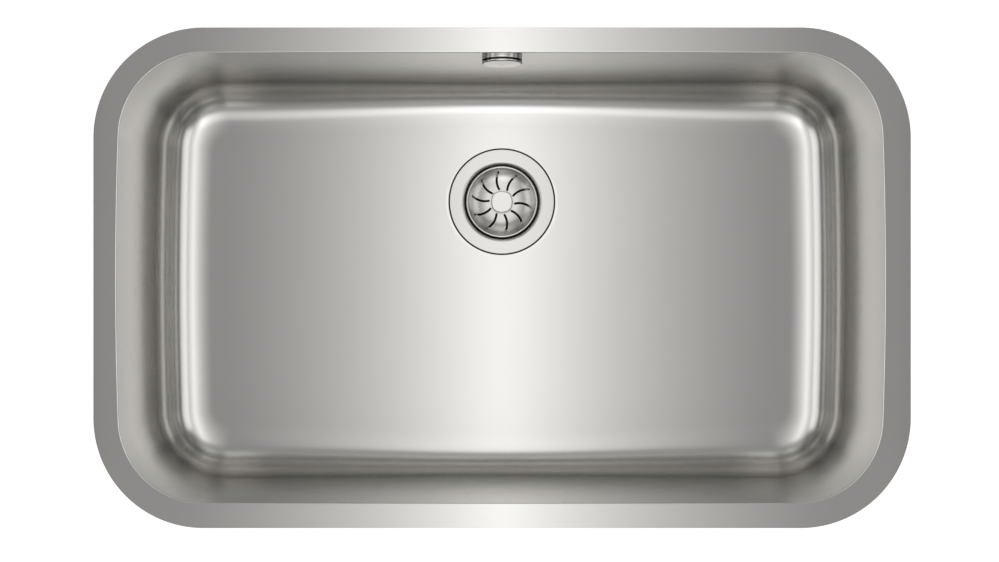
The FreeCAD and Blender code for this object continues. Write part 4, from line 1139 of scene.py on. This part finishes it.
@dataclass
class Studio:
    """White floor and surroundings, a grey light tent over the sink, and the camera straight above.

    The tent is a wide dome that glows faintly. Under its roof hangs a sheer soft panel, whose light
    is brightest over the sink's middle and fades towards both ends. A long box on each of the four
    sides lights the floor fillets, with one more high in front.
    """

    camera_place: Point = (-0.002, -0.0175, 1.875)
    lens: float = 70.2
    shift: tuple[float, float] = (-0.0005, 0.015)
    panel_height: float = 0.255
    panel_length: float = 0.7
    panel_reach: float = 0.46
    panel_peak: float = 1.62
    panel_fade: float = 0.25
    panel_foot: float = 0.4
    tent_glow: float = 0.12
    tent_reach: float = 2.6
    tent_height: float = 2.4
    tent_edge: float = 0.5
    tent_rings: int = 12
    tent_around: int = 48
    boxes: tuple[SoftBox, ...] = (
        SoftBox("left_box", (-0.72, 0.0, 0.44), (0.9, 0.34), 1.0, (0.35, 0.0, -0.19)),
        SoftBox("right_box", (0.72, 0.0, 0.44), (0.9, 0.34), 1.0, (-0.35, 0.0, -0.19)),
        SoftBox("front_box", (0.0, -0.85, 0.46), (1.2, 0.34), 0.26, (0.0, 0.17, -0.19)),
        SoftBox("back_box", (0.0, 0.85, 0.46), (1.2, 0.34), 0.26, (0.0, -0.17, -0.19)),
        SoftBox("high_box", (0.0, -0.8, 0.9), (1.3, 0.5), 0.55, (0.0, 0.17, -0.19)),
    )
    floor_reach: float = 6.0
    floor_gap: float = 0.0005
    floor_glow: float = 0.75

    def build(self, lowest: float) -> None:
        """Sets up everything round the object.

        Args:
            lowest: Height of the object's lowest point, where the floor lies.
        """
        self.panel()
        for box in self.boxes:
            box.place()
        self.tent()
        self.sky()
        self.floor(lowest - self.floor_gap)
        self.camera()

    def panel(self) -> None:
        """The sheer panel over the sink: it glows, and the tent shows through it.

        Its glow and the tent's together fall as the peak times exp(-distance / fade) from the
        middle line, down to the foot's level.
        """
        bench = Bench("studio_panel", (0.0, 0.0, 0.0), 0.0, 1.0)
        coordinates = bench.add("ShaderNodeTexCoord").outputs["Object"]
        place = bench.add("ShaderNodeSeparateXYZ", Vector=coordinates)
        fall = bench.figure("DIVIDE", bench.figure("ABSOLUTE", place.outputs["X"]), -self.panel_fade)
        level = bench.figure("MULTIPLY", bench.figure("EXPONENT", fall), self.panel_peak)
        level = bench.figure("MAXIMUM", level, self.panel_foot)
        glow = bench.add("ShaderNodeEmission", Strength=bench.figure("SUBTRACT", level, self.tent_glow))
        clear = bench.add("ShaderNodeBsdfTransparent")
        bench.finish(bench.chain("ShaderNodeAddShader", glow.outputs[0], clear.outputs[0]))
        corners = self.corners(self.panel_reach, self.panel_length / 2, self.panel_height)
        self.stand("studio_panel", corners, [(0, 3, 2, 1)], bench.material).visible_camera = False

    def tent(self) -> None:
        """The tent: a dome with an open foot, lit evenly from inside and not seen by the camera.

        A ring's radius is the reach times cos(a), and its height is the edge's plus the dome's
        height times sin(a), with a from 0 at the edge to a right angle at the top.
        """
        shape = (self.tent_rings, self.tent_around)
        rise = np.linspace(0, math.pi / 2, self.tent_rings, endpoint=False)[:, None]
        turn = np.linspace(0, 2 * math.pi, self.tent_around, endpoint=False)[None, :]
        height = np.broadcast_to(self.tent_edge + self.tent_height * np.sin(rise), shape)
        reach = self.tent_reach * np.cos(rise)
        rings = np.stack([reach * np.cos(turn), reach * np.sin(turn), height], axis=-1)
        points = np.concatenate([rings.reshape(-1, 3), [[0.0, 0.0, self.tent_edge + self.tent_height]]])
        last = np.arange(self.tent_around) + (self.tent_rings - 1) * self.tent_around
        cap = np.column_stack([last, np.roll(last, -1), np.full(self.tent_around, len(points) - 1)])
        faces = wrapped_quads(*shape, False).tolist() + cap.tolist()
        bench = Bench("studio_tent", (0.0, 0.0, 0.0), 0.0, 1.0)
        bench.finish(bench.add("ShaderNodeEmission", Strength=self.tent_glow))
        bench.material.cycles.emission_sampling = "NONE"
        self.stand("studio_tent", points.tolist(), faces, bench.material).visible_camera = False

    def sky(self) -> None:
        """An even white sky."""
        world = bpy.data.worlds.new("studio")
        bpy.context.scene.world = world
        world.use_nodes = True
        lit = world.node_tree.nodes["Background"]
        lit.inputs["Color"].default_value = (1.0, 1.0, 1.0, 1.0)
        lit.inputs["Strength"].default_value = 1.0

    def floor(self, height: float) -> None:
        """A wide floor, white to the eye and in reflections, with the sink's shadow on it.

        From below it is clear.

        Args:
            height: Height of the floor in metres.
        """
        bench = Bench("studio_floor", (0.8, 0.8, 0.8), 0.0, 0.9)
        path = bench.add("ShaderNodeLightPath")
        seen = path.outputs["Is Camera Ray"]
        for ray in ("Is Glossy Ray", "Is Transmission Ray"):
            seen = bench.figure("MAXIMUM", seen, path.outputs[ray])
        glow = bench.add("ShaderNodeEmission", Strength=bench.figure("MULTIPLY", seen, self.floor_glow))
        white = bench.chain("ShaderNodeAddShader", bench.shader.outputs[0], glow.outputs[0])
        below = bench.add("ShaderNodeNewGeometry").outputs["Backfacing"]
        clear = bench.add("ShaderNodeBsdfTransparent")
        bench.finish(bench.chain("ShaderNodeMixShader", below, white.outputs[0], clear.outputs[0]))
        bench.material.cycles.emission_sampling = "NONE"
        corners = self.corners(self.floor_reach, self.floor_reach, height)
        self.stand("studio_floor", corners, [(0, 1, 2, 3)], bench.material)

    @staticmethod
    def corners(reach_x: float, reach_y: float, height: float) -> list[Point]:
        """Corners of a level rectangle about the middle line, once round."""
        return [(-reach_x, -reach_y, height), (reach_x, -reach_y, height), (reach_x, reach_y, height),
                (-reach_x, reach_y, height)]

    @staticmethod
    def stand(name: str, points: list, faces: list, material: bpy.types.Material) -> bpy.types.Object:
        """Puts one piece of the studio up, which is no part of the object.

        Args:
            name: Name of the object and of its mesh.
            points: Corners in metres.
            faces: Corner indices of each face.
            material: Its material.

        Returns:
            The object.
        """
        mesh = bpy.data.meshes.new(name)
        mesh.from_pydata(points, [], faces)
        mesh.update()
        mesh.materials.append(material)
        piece = bpy.data.objects.new(name, mesh)
        bpy.context.scene.collection.objects.link(piece)
        piece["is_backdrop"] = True
        return piece

    def camera(self) -> None:
        """The photograph's view: straight down, with the back of the sink at the top."""
        data = bpy.data.cameras.new("camera")
        data.lens = self.lens
        data.sensor_width = 36.0
        data.shift_x, data.shift_y = self.shift
        data.clip_start = 0.01
        holder = bpy.data.objects.new("camera", data)
        bpy.context.scene.collection.objects.link(holder)
        holder.location = self.camera_place
        bpy.context.scene.camera = holder
        bpy.context.scene.view_settings.view_transform = "Standard"


def main() -> None:
    """Builds the sink's sub-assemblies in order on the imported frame."""
    logging.basicConfig(level=logging.INFO, format="%(name)s: %(message)s")
    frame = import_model()
    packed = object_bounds()
    nodes = frame["nodes"]
    finishes = {key: finish.make() for key, finish in {**metals(), **plastics()}.items()}
    for kind in (Bowl, Waste, Strainer, Overflow, Hose):
        LOG.info("sub-assembly %s", kind.__name__)
        part = kind(finishes)
        part.build()
        part.dress(nodes)
    Studio().build(packed[0][2])


if __name__ == "__main__":
    main()
